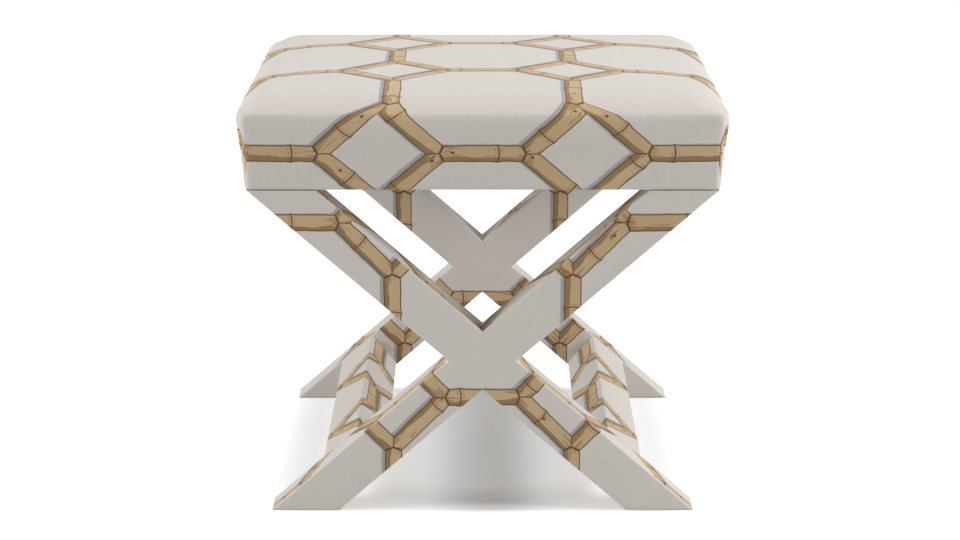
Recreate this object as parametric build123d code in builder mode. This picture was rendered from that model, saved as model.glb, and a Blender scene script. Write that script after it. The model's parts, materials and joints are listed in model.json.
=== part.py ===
from build123d import *

import os
from math import asin, atan2, cos, hypot, sin, tan

# An upholstered bench: a boxed, crowned seat on two half-lapped X frames, which
# two square stretchers join low down. Fabric covers every wooden piece.
# The origin is on the floor under the middle of the seat. +X runs along the
# seat's width, the front faces -Y and +Z points up. Sizes are in millimetres.

# Seat, over the fabric
seat_width = 509.0  # across the widest line, just under the seam
seat_depth = 476.0  # the same line, front to back
band_height = 80.0  # from the seat's underside up to the sewn seam
crown_above_seam = 26.0  # from the seam up to the middle of the crown
crown_rise = 7.0  # how far the middle stands above the edges of the top
crown_root = 2.0  # how far the crown is drawn down into the form under it
edge_radius = 24.0  # the soft edge round the top
corner_ease = 2.0  # how much rounder the upright corners are than that edge
upright_height = 2.0  # from the widest line up to the soft edge
side_draw = 6.0  # how far each side draws in at the underside
rail_line_height = 35.0  # height of the stretch that lies flat on the rails
rail_line_draw = 5.0  # how far each side draws in there
rail_line_corner = 12.0  # radius of the upright corners there
under_corner = 6.0  # radius of the upright corners at the underside
least_corner = 1.0  # no inner layer has a sharper upright corner

# Layers of the seat
seat_cover = 1.5  # fabric with its lining
wadding_thickness = 6.5  # at the rails and along the top edges
foam_edge_cut = 10.0  # taken off the top edges of the foam
deck_thickness = 12.0
rail_width = 38.0
rail_height = 38.0
corner_block_side = 50.0
corner_block_height = 30.0
dust_cover_thickness = 1.0
dust_cover_lap = 8.0  # how far the dust cover laps onto the rails
dust_cover_gap = 1.0  # room between the dust cover and what lies beside it

# X frames, over the fabric
leg_height = 351.0  # floor to the seat's underside
leg_width = 48.0  # across a leg
x_thickness = 40.5  # through an X frame
seat_overhang_side = 1.5  # the seat's underside past the tips of the X
seat_overhang_front = 1.0  # the seat's underside past the face of the X
foot_draw_in = 20.0  # how far each foot stands inside the tip above it
frame_cover = 2.0  # fabric over thin felt
sole_thickness = 2.0  # fabric folded under each foot

# Stretchers, over the fabric
stretcher_rise = 71.0  # along the leg, from the foot's tip to the stretcher
stretcher_width = 48.0  # along the leg
stretcher_setback = 1.5  # under the leg's two edges
stretcher_cutout_gap = 0.3  # round the stretcher where it goes through the fabric

# Fasteners
screw_sides = 8  # the many screws and dowels are drawn with flats, to keep their faces few
screw_radius = 2.5
screw_head_radius = 5.0
screw_head_height = 3.5
screw_head_taper = 33.0  # degrees, from the head down to the shank
dowel_sides = 12
dowel_radius = 5.0
dowel_in_leg = 20.0
dowel_in_stretcher = 25.0
dowel_spacing = 20.0
lap_screw_spacing = 28.0
lap_screw_length = 30.0
seat_screw_edge = 12.0  # from the leg's upper edge to the first screw
seat_screw_spacing = 18.0
seat_screw_in_leg = 25.0
deck_screw_length = 32.0
deck_screw_spread_x = 160.0  # between the two in a long rail
deck_screw_spread_y = 200.0  # between the two in a short rail
rail_screw_length = 70.0
rail_screw_spacing = 18.0

# Heights in the seat
seam_z = leg_height + band_height
crown_z = seam_z + crown_above_seam
edge_z = crown_z - crown_rise
bulge_z = edge_z - edge_radius - upright_height
rail_line_z = leg_height + rail_line_height
rail_bottom_z = leg_height + seat_cover
rail_top_z = rail_bottom_z + rail_height
deck_top_z = rail_top_z + deck_thickness

# Plan of the seat, as half widths and half depths
crown_x = seat_width / 2 - edge_radius - corner_ease / 2
crown_y = seat_depth / 2 - edge_radius - corner_ease / 2
under_x = seat_width / 2 - side_draw
under_y = seat_depth / 2 - side_draw
rail_outer_x = under_x - seat_cover - wadding_thickness
rail_outer_y = under_y - seat_cover - wadding_thickness
rail_inner_x = rail_outer_x - rail_width
rail_inner_y = rail_outer_y - rail_width
turned_under_x = rail_inner_x + dust_cover_lap
turned_under_y = rail_inner_y + dust_cover_lap

# X frames: distances from the bench's middle plane to each layer
x_outer_y = under_y - seat_overhang_front
x_inner_y = x_outer_y - x_thickness
core_inner_y = x_inner_y + frame_cover
core_thickness = x_thickness - 2 * frame_cover
lap_depth = core_thickness / 2

# X frames: spans over the tips, and the slope that fits the legs between them
top_span = 2 * (under_x - seat_overhang_side)
foot_span = top_span - 2 * foot_draw_in
mean_span = (top_span + foot_span) / 2
lean = atan2(leg_height, mean_span) + asin(leg_width / hypot(mean_span, leg_height))

SIDES = {"left": 1, "right": -1}
FRAMES = {"front": -1, "back": 1}


def leg_x(height, depth):
    """Where a line that lies a depth under the leg's upper edge stands at a height.

    The leg is the one with its foot on the left.
    """
    return -foot_span / 2 + height / tan(lean) + depth / sin(lean)


def leg_point(along, depth):
    """A point on the left-footed leg, from its foot's tip along and into the leg."""
    return (
        -foot_span / 2 + along * cos(lean) + depth * sin(lean),
        along * sin(lean) - depth * cos(lean),
    )


def middle_z(depth):
    """Height where a line that lies a depth under the leg's upper edge meets x = 0."""
    return (foot_span / 2 - depth / sin(lean)) * tan(lean)


def leg_slice(near, far, low, high):
    """Corners of the left-footed leg between two depths and two heights."""
    return [
        (leg_x(low, near), low),
        (leg_x(low, far), low),
        (leg_x(high, far), high),
        (leg_x(high, near), high),
    ]


def stretcher_section(margin):
    """Corners of the left stretcher's section, drawn in by a margin."""
    start = stretcher_rise + margin
    end = stretcher_rise + stretcher_width - margin
    upper = stretcher_setback + margin
    lower = leg_width - stretcher_setback - margin
    return [leg_point(start, upper), leg_point(end, upper), leg_point(end, lower), leg_point(start, lower)]


def flipped(points, side):
    """The points as they are for the left side, mirrored for the right side."""
    return [(side * x, z) for x, z in points]


def layer_plane(frame, near, thickness):
    """Upright plane at the front of a layer that starts near the middle plane.

    Extruding by minus the thickness fills the layer.
    """
    front = near if frame > 0 else -near - thickness
    return Plane.XZ.offset(-front)


def seat_form(inset, floor):
    """The seat's soft form, drawn in all round by an inset and cut flat at a floor."""
    with BuildPart() as crown:
        # Two crossing arches, which leave a vault that rises from all four edges
        rim_z = edge_z - inset
        root_z = rim_z - crown_root
        for plane, half, mode in ((Plane.XZ, crown_x, Mode.ADD), (Plane.YZ, crown_y, Mode.INTERSECT)):
            with BuildSketch(plane):
                with BuildLine():
                    Polyline((-half, rim_z), (-half, root_z), (half, root_z), (half, rim_z))
                    ThreePointArc((half, rim_z), (0, crown_z - inset), (-half, rim_z))
                make_face()
            extrude(amount=seat_width, both=True, mode=mode)
    with BuildPart() as form:
        # Sides that draw in under the widest line
        for height, draw_in, corner in (
            (leg_height, side_draw, under_corner),
            (rail_line_z, rail_line_draw, rail_line_corner),
            (bulge_z, 0, edge_radius + corner_ease),
            (edge_z - inset, 0, edge_radius + corner_ease),
        ):
            with BuildSketch(Plane.XY.offset(height)):
                RectangleRounded(
                    seat_width - 2 * (draw_in + inset),
                    seat_depth - 2 * (draw_in + inset),
                    max(corner - inset, least_corner),
                )
        loft(ruled=True)
        # Soft edge round the top
        top = form.faces().sort_by(Axis.Z)[-1]
        fillet(top.edges(), radius=edge_radius - inset)
        add(crown.part)
        split(bisect_by=Plane.XY.offset(floor), keep=Keep.TOP)
    return form.part


def save(part, name):
    """Label a finished piece and write it."""
    part.label = name
    export_step(part, f"parts/{name}.step")


os.makedirs("parts", exist_ok=True)
crossing_z = middle_z(leg_width / 2)

# Screws through the half laps, from the inner face of each X frame
lap_screw_planes = []
for frame in FRAMES.values():
    for x in (-lap_screw_spacing / 2, lap_screw_spacing / 2):
        lap_screw_planes.append(Plane((x, frame * core_inner_y, crossing_z), z_dir=(0, frame, 0)))
with BuildPart() as lap_screws:
    with BuildSketch(*lap_screw_planes):
        RegularPolygon(screw_radius, screw_sides)
    extrude(amount=lap_screw_length)
    with BuildSketch(*lap_screw_planes):
        RegularPolygon(screw_head_radius, screw_sides)
    extrude(amount=screw_head_height, taper=screw_head_taper)
save(lap_screws.part, "lap_screws")

# Dowels that join the stretchers to the legs
dowel_middle = stretcher_rise + stretcher_width / 2
dowel_points = [leg_point(dowel_middle + step, leg_width / 2) for step in (-dowel_spacing / 2, dowel_spacing / 2)]
with BuildPart() as stretcher_dowels:
    for frame in FRAMES.values():
        length = dowel_in_leg + dowel_in_stretcher
        with BuildSketch(layer_plane(frame, core_inner_y - dowel_in_stretcher, length)):
            with Locations(*dowel_points):
                RegularPolygon(dowel_radius, dowel_sides)
            mirror(about=Plane.YZ)
        extrude(amount=-length)
save(stretcher_dowels.part, "stretcher_dowels")

# Screws from the rails down into the tops of the legs
seat_screw_y = (core_inner_y + rail_outer_y) / 2
seat_screw_x = leg_x(leg_height, 0) + seat_screw_edge
seat_screw_planes = []
for frame in FRAMES.values():
    for side in SIDES.values():
        for x in (seat_screw_x, seat_screw_x + seat_screw_spacing):
            seat_screw_planes.append(Plane((side * x, frame * seat_screw_y, rail_top_z), z_dir=(0, 0, -1)))
with BuildPart() as seat_fixing_screws:
    with BuildSketch(*seat_screw_planes):
        RegularPolygon(screw_radius, screw_sides)
    extrude(amount=rail_height + seat_cover + seat_screw_in_leg)
    with BuildSketch(*seat_screw_planes):
        RegularPolygon(screw_head_radius, screw_sides)
    extrude(amount=screw_head_height, taper=screw_head_taper)
save(seat_fixing_screws.part, "seat_fixing_screws")

# Screws that hold the deck on the rails
rail_line_x = rail_outer_x - rail_width / 2
rail_line_y = rail_outer_y - rail_width / 2
deck_screw_planes = []
for x_sign in (-1, 1):
    for y_sign in (-1, 1):
        for x, y in ((deck_screw_spread_x / 2, rail_line_y), (rail_line_x, deck_screw_spread_y / 2)):
            deck_screw_planes.append(Plane((x_sign * x, y_sign * y, deck_top_z), z_dir=(0, 0, -1)))
with BuildPart() as deck_screws:
    with BuildSketch(*deck_screw_planes):
        RegularPolygon(screw_radius, screw_sides)
    extrude(amount=deck_screw_length)
    with BuildSketch(*deck_screw_planes):
        RegularPolygon(screw_head_radius, screw_sides)
    extrude(amount=screw_head_height, taper=screw_head_taper)
save(deck_screws.part, "deck_screws")

# Screws through the long rails into the ends of the short ones
rail_middle_z = rail_bottom_z + rail_height / 2
rail_screw_planes = []
for frame in FRAMES.values():
    for side in SIDES.values():
        for z in (rail_middle_z - rail_screw_spacing / 2, rail_middle_z + rail_screw_spacing / 2):
            rail_screw_planes.append(Plane((side * rail_line_x, frame * rail_outer_y, z), z_dir=(0, -frame, 0)))
with BuildPart() as rail_screws:
    with BuildSketch(*rail_screw_planes):
        RegularPolygon(screw_radius, screw_sides)
    extrude(amount=rail_screw_length)
    with BuildSketch(*rail_screw_planes):
        RegularPolygon(screw_head_radius, screw_sides)
    extrude(amount=screw_head_height, taper=screw_head_taper)
save(rail_screws.part, "rail_screws")

# Legs: each pair is half-lapped, the left-footed leg keeping its outer half
for frame_name, frame in FRAMES.items():
    for side_name, side in SIDES.items():
        notch_near = core_inner_y if side > 0 else core_inner_y + lap_depth
        core = leg_slice(frame_cover, leg_width - frame_cover, sole_thickness, leg_height)
        with BuildPart() as leg:
            with BuildSketch(layer_plane(frame, core_inner_y, core_thickness)):
                Polygon(*flipped(core, side), align=None)
            extrude(amount=-core_thickness)
            with BuildSketch(layer_plane(frame, notch_near, lap_depth)):
                Polygon(*flipped(core, -side), align=None)
            extrude(amount=-lap_depth, mode=Mode.SUBTRACT)
            add(lap_screws.part, mode=Mode.SUBTRACT)
            add(stretcher_dowels.part, mode=Mode.SUBTRACT)
            add(seat_fixing_screws.part, mode=Mode.SUBTRACT)
        save(leg.part, f"{frame_name}_leg_{side_name}")

# Stretchers and their fabric sleeves
for side_name, side in SIDES.items():
    with BuildPart() as stretcher:
        with BuildSketch(Plane.XZ.offset(core_inner_y)):
            Polygon(*flipped(stretcher_section(frame_cover), side), align=None)
        extrude(amount=-2 * core_inner_y)
        add(stretcher_dowels.part, mode=Mode.SUBTRACT)
    save(stretcher.part, f"stretcher_{side_name}")
    with BuildPart() as sleeve:
        with BuildSketch(Plane.XZ.offset(x_inner_y)):
            Polygon(*flipped(stretcher_section(0), side), align=None)
        extrude(amount=-2 * x_inner_y)
        add(stretcher.part, mode=Mode.SUBTRACT)
        add(stretcher_dowels.part, mode=Mode.SUBTRACT)
    save(sleeve.part, f"stretcher_{side_name}_sleeve")

# Fabric on the faces of the X frames; the inner ones are cut out round the stretchers
whole_leg = leg_slice(0, leg_width, sole_thickness, leg_height)
for frame_name, frame in FRAMES.items():
    with BuildPart() as outer_panel:
        with BuildSketch(layer_plane(frame, x_outer_y - frame_cover, frame_cover)):
            Polygon(*whole_leg, align=None)
            mirror(about=Plane.YZ)
        extrude(amount=-frame_cover)
    save(outer_panel.part, f"{frame_name}_x_outer_panel")
    with BuildPart() as inner_panel:
        with BuildSketch(layer_plane(frame, x_inner_y, frame_cover)):
            Polygon(*whole_leg, align=None)
            mirror(about=Plane.YZ)
        extrude(amount=-frame_cover)
        with BuildSketch(layer_plane(frame, x_inner_y, frame_cover)):
            Polygon(*stretcher_section(frame_cover - stretcher_cutout_gap), align=None)
            mirror(about=Plane.YZ)
        extrude(amount=-frame_cover, mode=Mode.SUBTRACT)
    save(inner_panel.part, f"{frame_name}_x_inner_panel")

# Fabric strips along the edges of the X frames, each folded once at the crossing
far_edge = leg_width - frame_cover
upper_strip_half = [
    (0, middle_z(frame_cover)),
    (0, middle_z(0)),
    (leg_x(leg_height, 0), leg_height),
    (leg_x(leg_height, frame_cover), leg_height),
]
lower_strip_half = [
    (0, middle_z(far_edge)),
    (0, middle_z(leg_width)),
    (leg_x(sole_thickness, leg_width), sole_thickness),
    (leg_x(sole_thickness, far_edge), sole_thickness),
]
side_strip = [
    (leg_x(sole_thickness, 0), sole_thickness),
    (leg_x(crossing_z, 0), crossing_z),
    (-leg_x(leg_height, leg_width), leg_height),
    (-leg_x(leg_height, far_edge), leg_height),
    (-leg_x(crossing_z, far_edge), crossing_z),
    (leg_x(sole_thickness, frame_cover), sole_thickness),
]
for frame_name, frame in FRAMES.items():
    strip_plane = layer_plane(frame, core_inner_y, core_thickness)
    for strip_name, half in (("upper", upper_strip_half), ("lower", lower_strip_half)):
        with BuildPart() as folded_strip:
            with BuildSketch(strip_plane):
                Polygon(*half, align=None)
                mirror(about=Plane.YZ)
            extrude(amount=-core_thickness)
        save(folded_strip.part, f"{frame_name}_x_strip_{strip_name}")
    for side_name, side in SIDES.items():
        with BuildPart() as outer_strip:
            with BuildSketch(strip_plane):
                Polygon(*flipped(side_strip, side), align=None)
            extrude(amount=-core_thickness)
        save(outer_strip.part, f"{frame_name}_x_strip_{side_name}")

# Fabric folded under the feet
with BuildPart() as foot_soles:
    for frame in FRAMES.values():
        with BuildSketch(layer_plane(frame, x_inner_y, x_thickness)):
            Polygon(*leg_slice(0, leg_width, 0, sole_thickness), align=None)
            mirror(about=Plane.YZ)
        extrude(amount=-x_thickness)
save(foot_soles.part, "foot_soles")

# Seat rails: the long ones run through, the short ones fit between them
for frame_name, frame in FRAMES.items():
    with BuildPart() as long_rail:
        with Locations((0, frame * rail_line_y, rail_middle_z)):
            Box(2 * rail_outer_x, rail_width, rail_height)
        add(seat_fixing_screws.part, mode=Mode.SUBTRACT)
        add(deck_screws.part, mode=Mode.SUBTRACT)
        add(rail_screws.part, mode=Mode.SUBTRACT)
    save(long_rail.part, f"seat_rail_{frame_name}")
for side_name, side in SIDES.items():
    with BuildPart() as short_rail:
        with Locations((-side * rail_line_x, 0, rail_middle_z)):
            Box(rail_width, 2 * rail_inner_y, rail_height)
        add(deck_screws.part, mode=Mode.SUBTRACT)
        add(rail_screws.part, mode=Mode.SUBTRACT)
    save(short_rail.part, f"seat_rail_{side_name}")

# Glued blocks in the corners of the rails
with BuildPart() as seat_corner_blocks:
    with BuildSketch(Plane.XY.offset(rail_top_z - corner_block_height)):
        Polygon(
            (rail_inner_x, rail_inner_y),
            (rail_inner_x - corner_block_side, rail_inner_y),
            (rail_inner_x, rail_inner_y - corner_block_side),
            align=None,
        )
        mirror(about=Plane.YZ)
        mirror(about=Plane.XZ)
    extrude(amount=corner_block_height)
save(seat_corner_blocks.part, "seat_corner_blocks")

# Plywood deck on the rails
with BuildPart() as seat_deck:
    with BuildSketch(Plane.XY.offset(rail_top_z)):
        Rectangle(2 * rail_outer_x, 2 * rail_outer_y)
    extrude(amount=deck_thickness)
    add(deck_screws.part, mode=Mode.SUBTRACT)
save(seat_deck.part, "seat_deck")

# Dust cover under the rails, between the X frames and inside the turned-under fabric
dust_cover_x = turned_under_x - dust_cover_gap
dust_cover_y = min(turned_under_y, x_inner_y) - dust_cover_gap
with BuildPart() as dust_cover:
    with BuildSketch(Plane.XY.offset(rail_bottom_z)):
        Rectangle(2 * dust_cover_x, 2 * dust_cover_y)
    extrude(amount=-dust_cover_thickness)
save(dust_cover.part, "dust_cover")

# Foam block on the deck, square-cut with its top edges taken off
with BuildPart() as seat_foam:
    with BuildSketch(Plane.XY.offset(deck_top_z)):
        Rectangle(2 * rail_outer_x, 2 * rail_outer_y)
    extrude(amount=edge_z - seat_cover - wadding_thickness - deck_top_z)
    foam_top = seat_foam.faces().sort_by(Axis.Z)[-1]
    chamfer(foam_top.edges(), length=foam_edge_cut)
save(seat_foam.part, "seat_foam")

# Wadding that gives the seat its form, over the foam and down the outside of the rails
padded_form = seat_form(seat_cover, rail_bottom_z)
with BuildPart() as seat_wadding:
    add(padded_form)
    add(seat_foam.part, mode=Mode.SUBTRACT)
    with Locations((0, 0, rail_bottom_z)):
        Box(
            2 * rail_outer_x,
            2 * rail_outer_y,
            deck_top_z - rail_bottom_z,
            align=(Align.CENTER, Align.CENTER, Align.MIN),
            mode=Mode.SUBTRACT,
        )
save(seat_wadding.part, "seat_wadding")

# Seat cover: one skin over the wadding, turned under the rails
cover_form = seat_form(0, leg_height)
with BuildPart() as seat_skin:
    add(cover_form)
    add(padded_form, mode=Mode.SUBTRACT)
    with Locations((0, 0, leg_height)):
        Box(2 * turned_under_x, 2 * turned_under_y, 2 * seat_cover, mode=Mode.SUBTRACT)
    add(seat_fixing_screws.part, mode=Mode.SUBTRACT)

# Top panel: the crowned part of the cover above the seam
with BuildPart() as seat_top_panel:
    add(seat_skin.part)
    split(bisect_by=Plane.XY.offset(seam_z), keep=Keep.TOP)
save(seat_top_panel.part, "seat_top_panel")

# Bands: the part under the seam, sewn together at the upright corners
outside_x = seat_width / 2 + edge_radius
outside_y = seat_depth / 2 + edge_radius
mitre_depth = 2 * rail_width + edge_radius
long_band_half = [
    (-outside_x, outside_y),
    (outside_x, outside_y),
    (outside_x - mitre_depth, outside_y - mitre_depth),
    (mitre_depth - outside_x, outside_y - mitre_depth),
]
short_band_half = [
    (-outside_x, -outside_y),
    (-outside_x, outside_y),
    (mitre_depth - outside_x, outside_y - mitre_depth),
    (mitre_depth - outside_x, mitre_depth - outside_y),
]
band_plans = {
    "front": [(x, -y) for x, y in long_band_half],
    "back": long_band_half,
    "left": short_band_half,
    "right": [(-x, y) for x, y in short_band_half],
}
for band_name, plan in band_plans.items():
    with BuildPart() as band:
        with BuildSketch(Plane.XY.offset(leg_height)):
            Polygon(*plan, align=None)
        extrude(amount=band_height)
        add(seat_skin.part, mode=Mode.INTERSECT)
    save(band.part, f"seat_band_{band_name}")
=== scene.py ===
"""Looks of an upholstered bench: a boxed, crowned seat on two X frames, all in printed fabric."""
import json
import logging
import math
from dataclasses import dataclass
from enum import Enum
from functools import cache
from typing import Sequence

import bmesh
import bpy
import numpy as np
from bpy.types import Material, NodeSocket, NodeTree, Object
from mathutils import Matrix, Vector


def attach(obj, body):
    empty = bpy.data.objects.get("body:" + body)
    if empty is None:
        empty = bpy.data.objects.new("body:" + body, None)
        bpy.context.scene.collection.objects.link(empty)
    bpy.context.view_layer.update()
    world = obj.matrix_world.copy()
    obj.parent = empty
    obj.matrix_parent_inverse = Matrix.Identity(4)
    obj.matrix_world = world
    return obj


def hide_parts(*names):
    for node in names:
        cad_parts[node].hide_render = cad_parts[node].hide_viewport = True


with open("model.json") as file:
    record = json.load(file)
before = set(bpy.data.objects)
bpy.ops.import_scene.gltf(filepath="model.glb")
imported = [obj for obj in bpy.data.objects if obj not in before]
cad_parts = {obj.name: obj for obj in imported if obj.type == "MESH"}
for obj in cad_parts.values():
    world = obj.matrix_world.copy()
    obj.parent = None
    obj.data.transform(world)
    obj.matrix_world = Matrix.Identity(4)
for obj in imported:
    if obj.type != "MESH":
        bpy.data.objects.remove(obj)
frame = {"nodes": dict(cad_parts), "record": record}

Pair = tuple[float, float]
Triple = tuple[float, float, float]
Series = tuple[float, ...]
Rgb = tuple[int, int, int]
Rgba = tuple[float, float, float, float]
ArrayPair = tuple[np.ndarray, np.ndarray]

LOG = logging.getLogger("bench")
BODY = "root"
PRINT_MAP = "print"
WELD_STEP = 2e-5
WELD_SHIFT = 0.31


class Side(Enum):
    """The four sides of the seat, as the patches of its net."""

    FRONT = "front"
    BACK = "back"
    LEFT = "left"
    RIGHT = "right"

    @property
    def is_long(self) -> bool:
        """Whether the side runs along the seat's width."""
        return self in (Side.FRONT, Side.BACK)

    def in_plan(self, along: np.ndarray, out: np.ndarray) -> ArrayPair:
        """Lay a place on the side into the plan.

        Args:
            along: How far it is along the side, counterclockwise.
            out: How far it is out from the middle.

        Returns:
            Its X and Y.
        """
        return {
            Side.FRONT: (along, -out),
            Side.BACK: (-along, out),
            Side.LEFT: (-out, -along),
            Side.RIGHT: (out, along),
        }[self]


class FramePlace(Enum):
    """The two X frames, with the sign of their Y."""

    FRONT = -1
    BACK = 1

    @property
    def word(self) -> str:
        """The frame's word in the names of its pieces."""
        return self.name.lower()


class StripPlace(Enum):
    """The four folded edge strips of an X frame."""

    UPPER = "upper"
    LOWER = "lower"
    LEFT = "left"
    RIGHT = "right"


@dataclass(frozen=True)
class BenchSizes:
    """Sizes of the bench in metres, the same as the solids have."""

    seat_width: float = 0.509
    seat_depth: float = 0.476
    leg_height: float = 0.351
    seam_z: float = 0.431
    edge_z: float = 0.450
    edge_radius: float = 0.025
    side_draw: float = 0.006
    seat_cover: float = 0.0015
    rail_outer_x: float = 0.2405
    rail_outer_y: float = 0.224
    deck_top_z: float = 0.4025
    foam_top_z: float = 0.442
    leg_width: float = 0.048
    x_outer_y: float = 0.231
    x_inner_y: float = 0.1905
    top_span: float = 0.494
    foot_span: float = 0.454
    frame_cover: float = 0.002
    sole_thickness: float = 0.002
    stretcher_rise: float = 0.071
    stretcher_width: float = 0.048
    stretcher_setback: float = 0.0015
    dust_cover_x: float = 0.2095
    dust_cover_y: float = 0.1895

    @property
    def lean(self) -> float:
        """Slope of a leg that fits between the spans at the floor and the seat."""
        mean_span = (self.top_span + self.foot_span) / 2
        return math.atan2(self.leg_height, mean_span) + math.asin(
            self.leg_width / math.hypot(mean_span, self.leg_height)
        )

    def x_point(self, first: float, second: float) -> Pair:
        """A point on the plan of an X frame.

        Args:
            first: Depth under the upper edge of the left-footed leg.
            second: Depth under the upper edge of the right-footed leg.

        Returns:
            Its X and Z.
        """
        rise = self.foot_span / 2 - (first + second) / (2 * math.sin(self.lean))
        return (first - second) / (2 * math.sin(self.lean)), math.tan(self.lean) * rise

    def depths_at(self, height: float) -> float:
        """Sum of the two depths of every point at a height.

        Args:
            height: The height.

        Returns:
            The sum, which a level cut through the legs keeps.
        """
        return 2 * math.sin(self.lean) * (self.foot_span / 2 - height / math.tan(self.lean))


SIZES = BenchSizes()


# Making meshes


@dataclass
class Patch:
    """A stretch of cloth as a grid of points with a place in the print for each.

    Args:
        points: Points as rows by columns by 3.
        print_at: Places in the print, in metres, as rows by columns by 2.
    """

    points: np.ndarray
    print_at: np.ndarray

    def quads(self) -> np.ndarray:
        """Corners of the faces, as row and column pairs made one number."""
        rows, columns = self.points.shape[:2]
        at = np.arange(rows * columns).reshape(rows, columns)
        return np.stack([at[:-1, :-1], at[1:, :-1], at[1:, 1:], at[:-1, 1:]], axis=-1).reshape(-1, 4)


@dataclass
class Cloth:
    """Welded patches, with the print's place kept at every corner of every face.

    Args:
        points: Points by 3.
        faces: Faces by 4.
        print_at: Places in the print as faces by 4 by 2.
    """

    points: np.ndarray
    faces: np.ndarray
    print_at: np.ndarray

    @classmethod
    def laid(cls, patches: Sequence[Patch]) -> "Cloth":
        """Lay patches side by side without joining them.

        Args:
            patches: The patches.

        Returns:
            One cloth, its faces in the order of the patches.
        """
        points, faces, places, start = [], [], [], 0
        for patch in patches:
            quads = patch.quads()
            flat = patch.print_at.reshape(-1, 2)
            points.append(patch.points.reshape(-1, 3))
            faces.append(quads + start)
            places.append(flat[quads])
            start += len(flat)
        return cls(np.concatenate(points), np.concatenate(faces), np.concatenate(places))

    @classmethod
    def weld(cls, patches: Sequence[Patch]) -> "Cloth":
        """Join patches where their points meet.

        Args:
            patches: The patches.

        Returns:
            One cloth, its faces in the order of the patches.
        """
        loose = cls.laid(patches)
        # The uneven shift keeps round sizes off the borders of the grid
        keys = np.round(loose.points / WELD_STEP + WELD_SHIFT).astype(np.int64)
        _, first, index = np.unique(keys, axis=0, return_index=True, return_inverse=True)
        # Points are numbered as they first come, so that nets with the same patches match point for point
        order = np.argsort(first)
        rank = np.empty_like(order)
        rank[order] = np.arange(len(order))
        return cls(loose.points[first[order]], rank[index.reshape(-1)][loose.faces], loose.print_at)

    def normals(self) -> np.ndarray:
        """Directions out of the cloth at its points."""
        a, b, c, d = self.points[self.faces].transpose(1, 0, 2)
        total = np.zeros_like(self.points)
        np.add.at(total, self.faces, np.cross(c - a, d - b)[:, None, :])
        return total / np.maximum(np.linalg.norm(total, axis=1, keepdims=True), 1e-12)

    def part(self, chosen: np.ndarray) -> "Cloth":
        """Some of the faces, with only the points that they use.

        Args:
            chosen: A mask of the faces.

        Returns:
            The smaller cloth.
        """
        used, index = np.unique(self.faces[chosen], return_inverse=True)
        return Cloth(self.points[used], index.reshape(-1, 4), self.print_at[chosen])

    def backed(self, back: np.ndarray) -> "Cloth":
        """Give the cloth a back and close it round the rim.

        Args:
            back: A point of the back for each point.

        Returns:
            The closed cloth.
        """
        count = len(self.points)
        edges = np.concatenate([np.roll(self.faces, -k, axis=1)[:, :2] for k in range(4)])
        corner = np.tile(np.arange(len(self.faces)), 4)
        turn = np.repeat(np.arange(4), len(self.faces))
        key = np.sort(edges, axis=1)
        _, index, uses = np.unique(key, axis=0, return_inverse=True, return_counts=True)
        rim = uses[index.reshape(-1)] == 1
        start, end = edges[rim, 0], edges[rim, 1]
        walls = np.stack([end, start, start + count, end + count], axis=1)
        at_start = self.print_at[corner[rim], turn[rim]]
        at_end = self.print_at[corner[rim], (turn[rim] + 1) % 4]
        wall_places = np.stack([at_end, at_start, at_start, at_end], axis=1)
        return Cloth(
            np.concatenate([self.points, back]),
            np.concatenate([self.faces, self.faces[:, ::-1] + count, walls]),
            np.concatenate([self.print_at, self.print_at[:, ::-1], wall_places]),
        )

    def as_object(self, name: str) -> Object:
        """Make a Blender object of the cloth.

        Args:
            name: The piece's name.

        Returns:
            The object, at the origin, with its faces turned outwards where it is closed.
        """
        mesh = bpy.data.meshes.new(name)
        mesh.from_pydata(self.points.tolist(), [], self.faces.tolist())
        layer = mesh.uv_layers.new(name=PRINT_MAP)
        layer.data.foreach_set("uv", self.print_at.reshape(-1).astype(np.float32))
        made = bmesh.new()
        made.from_mesh(mesh)
        if not any(edge.is_boundary for edge in made.edges):
            bmesh.ops.recalc_face_normals(made, faces=made.faces)
        made.to_mesh(mesh)
        made.free()
        piece = bpy.data.objects.new(name, mesh)
        bpy.context.scene.collection.objects.link(piece)
        return piece


def choose_only(piece: Object) -> None:
    """Make a piece the only selected and active object.

    Args:
        piece: The piece.
    """
    bpy.ops.object.select_all(action="DESELECT")
    piece.select_set(True)
    bpy.context.view_layer.objects.active = piece


def apply_modifiers(piece: Object) -> None:
    """Apply every modifier of a piece, in order.

    Args:
        piece: The piece.
    """
    choose_only(piece)
    for modifier in list(piece.modifiers):
        bpy.ops.object.modifier_apply(modifier=modifier.name)


def smooth_by_angle(piece: Object, degrees: float) -> None:
    """Shade a piece smooth, apart from its sharper edges.

    Args:
        piece: The piece.
        degrees: Edges that turn by more stay sharp.
    """
    choose_only(piece)
    bpy.ops.object.shade_smooth_by_angle(angle=math.radians(degrees))


def bevelled_block(
    name: str, size: Triple, z: float, radius: float, segments: int, above: float = -math.inf
) -> Object:
    """A block over the origin with rounded edges.

    Args:
        name: Its name.
        size: Its width, depth and height.
        z: Height of its middle.
        radius: How far its edges are rounded.
        segments: Steps of the rounding.
        above: Only edges with an end above this height are rounded.

    Returns:
        The block.
    """
    bpy.ops.object.select_all(action="DESELECT")
    bpy.ops.mesh.primitive_cube_add(size=1, location=(0, 0, z))
    piece = bpy.context.object
    piece.name = piece.data.name = name
    piece.scale = size
    bpy.ops.object.transform_apply(location=True, rotation=True, scale=True)
    bpy.ops.object.mode_set(mode="EDIT")
    made = bmesh.from_edit_mesh(piece.data)
    for edge in made.edges:
        edge.select_set(any(vert.co.z > above for vert in edge.verts))
    bmesh.update_edit_mesh(piece.data)
    bpy.ops.mesh.bevel(offset=radius, segments=segments, affect="EDGES")
    bpy.ops.object.mode_set(mode="OBJECT")
    return piece


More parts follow.
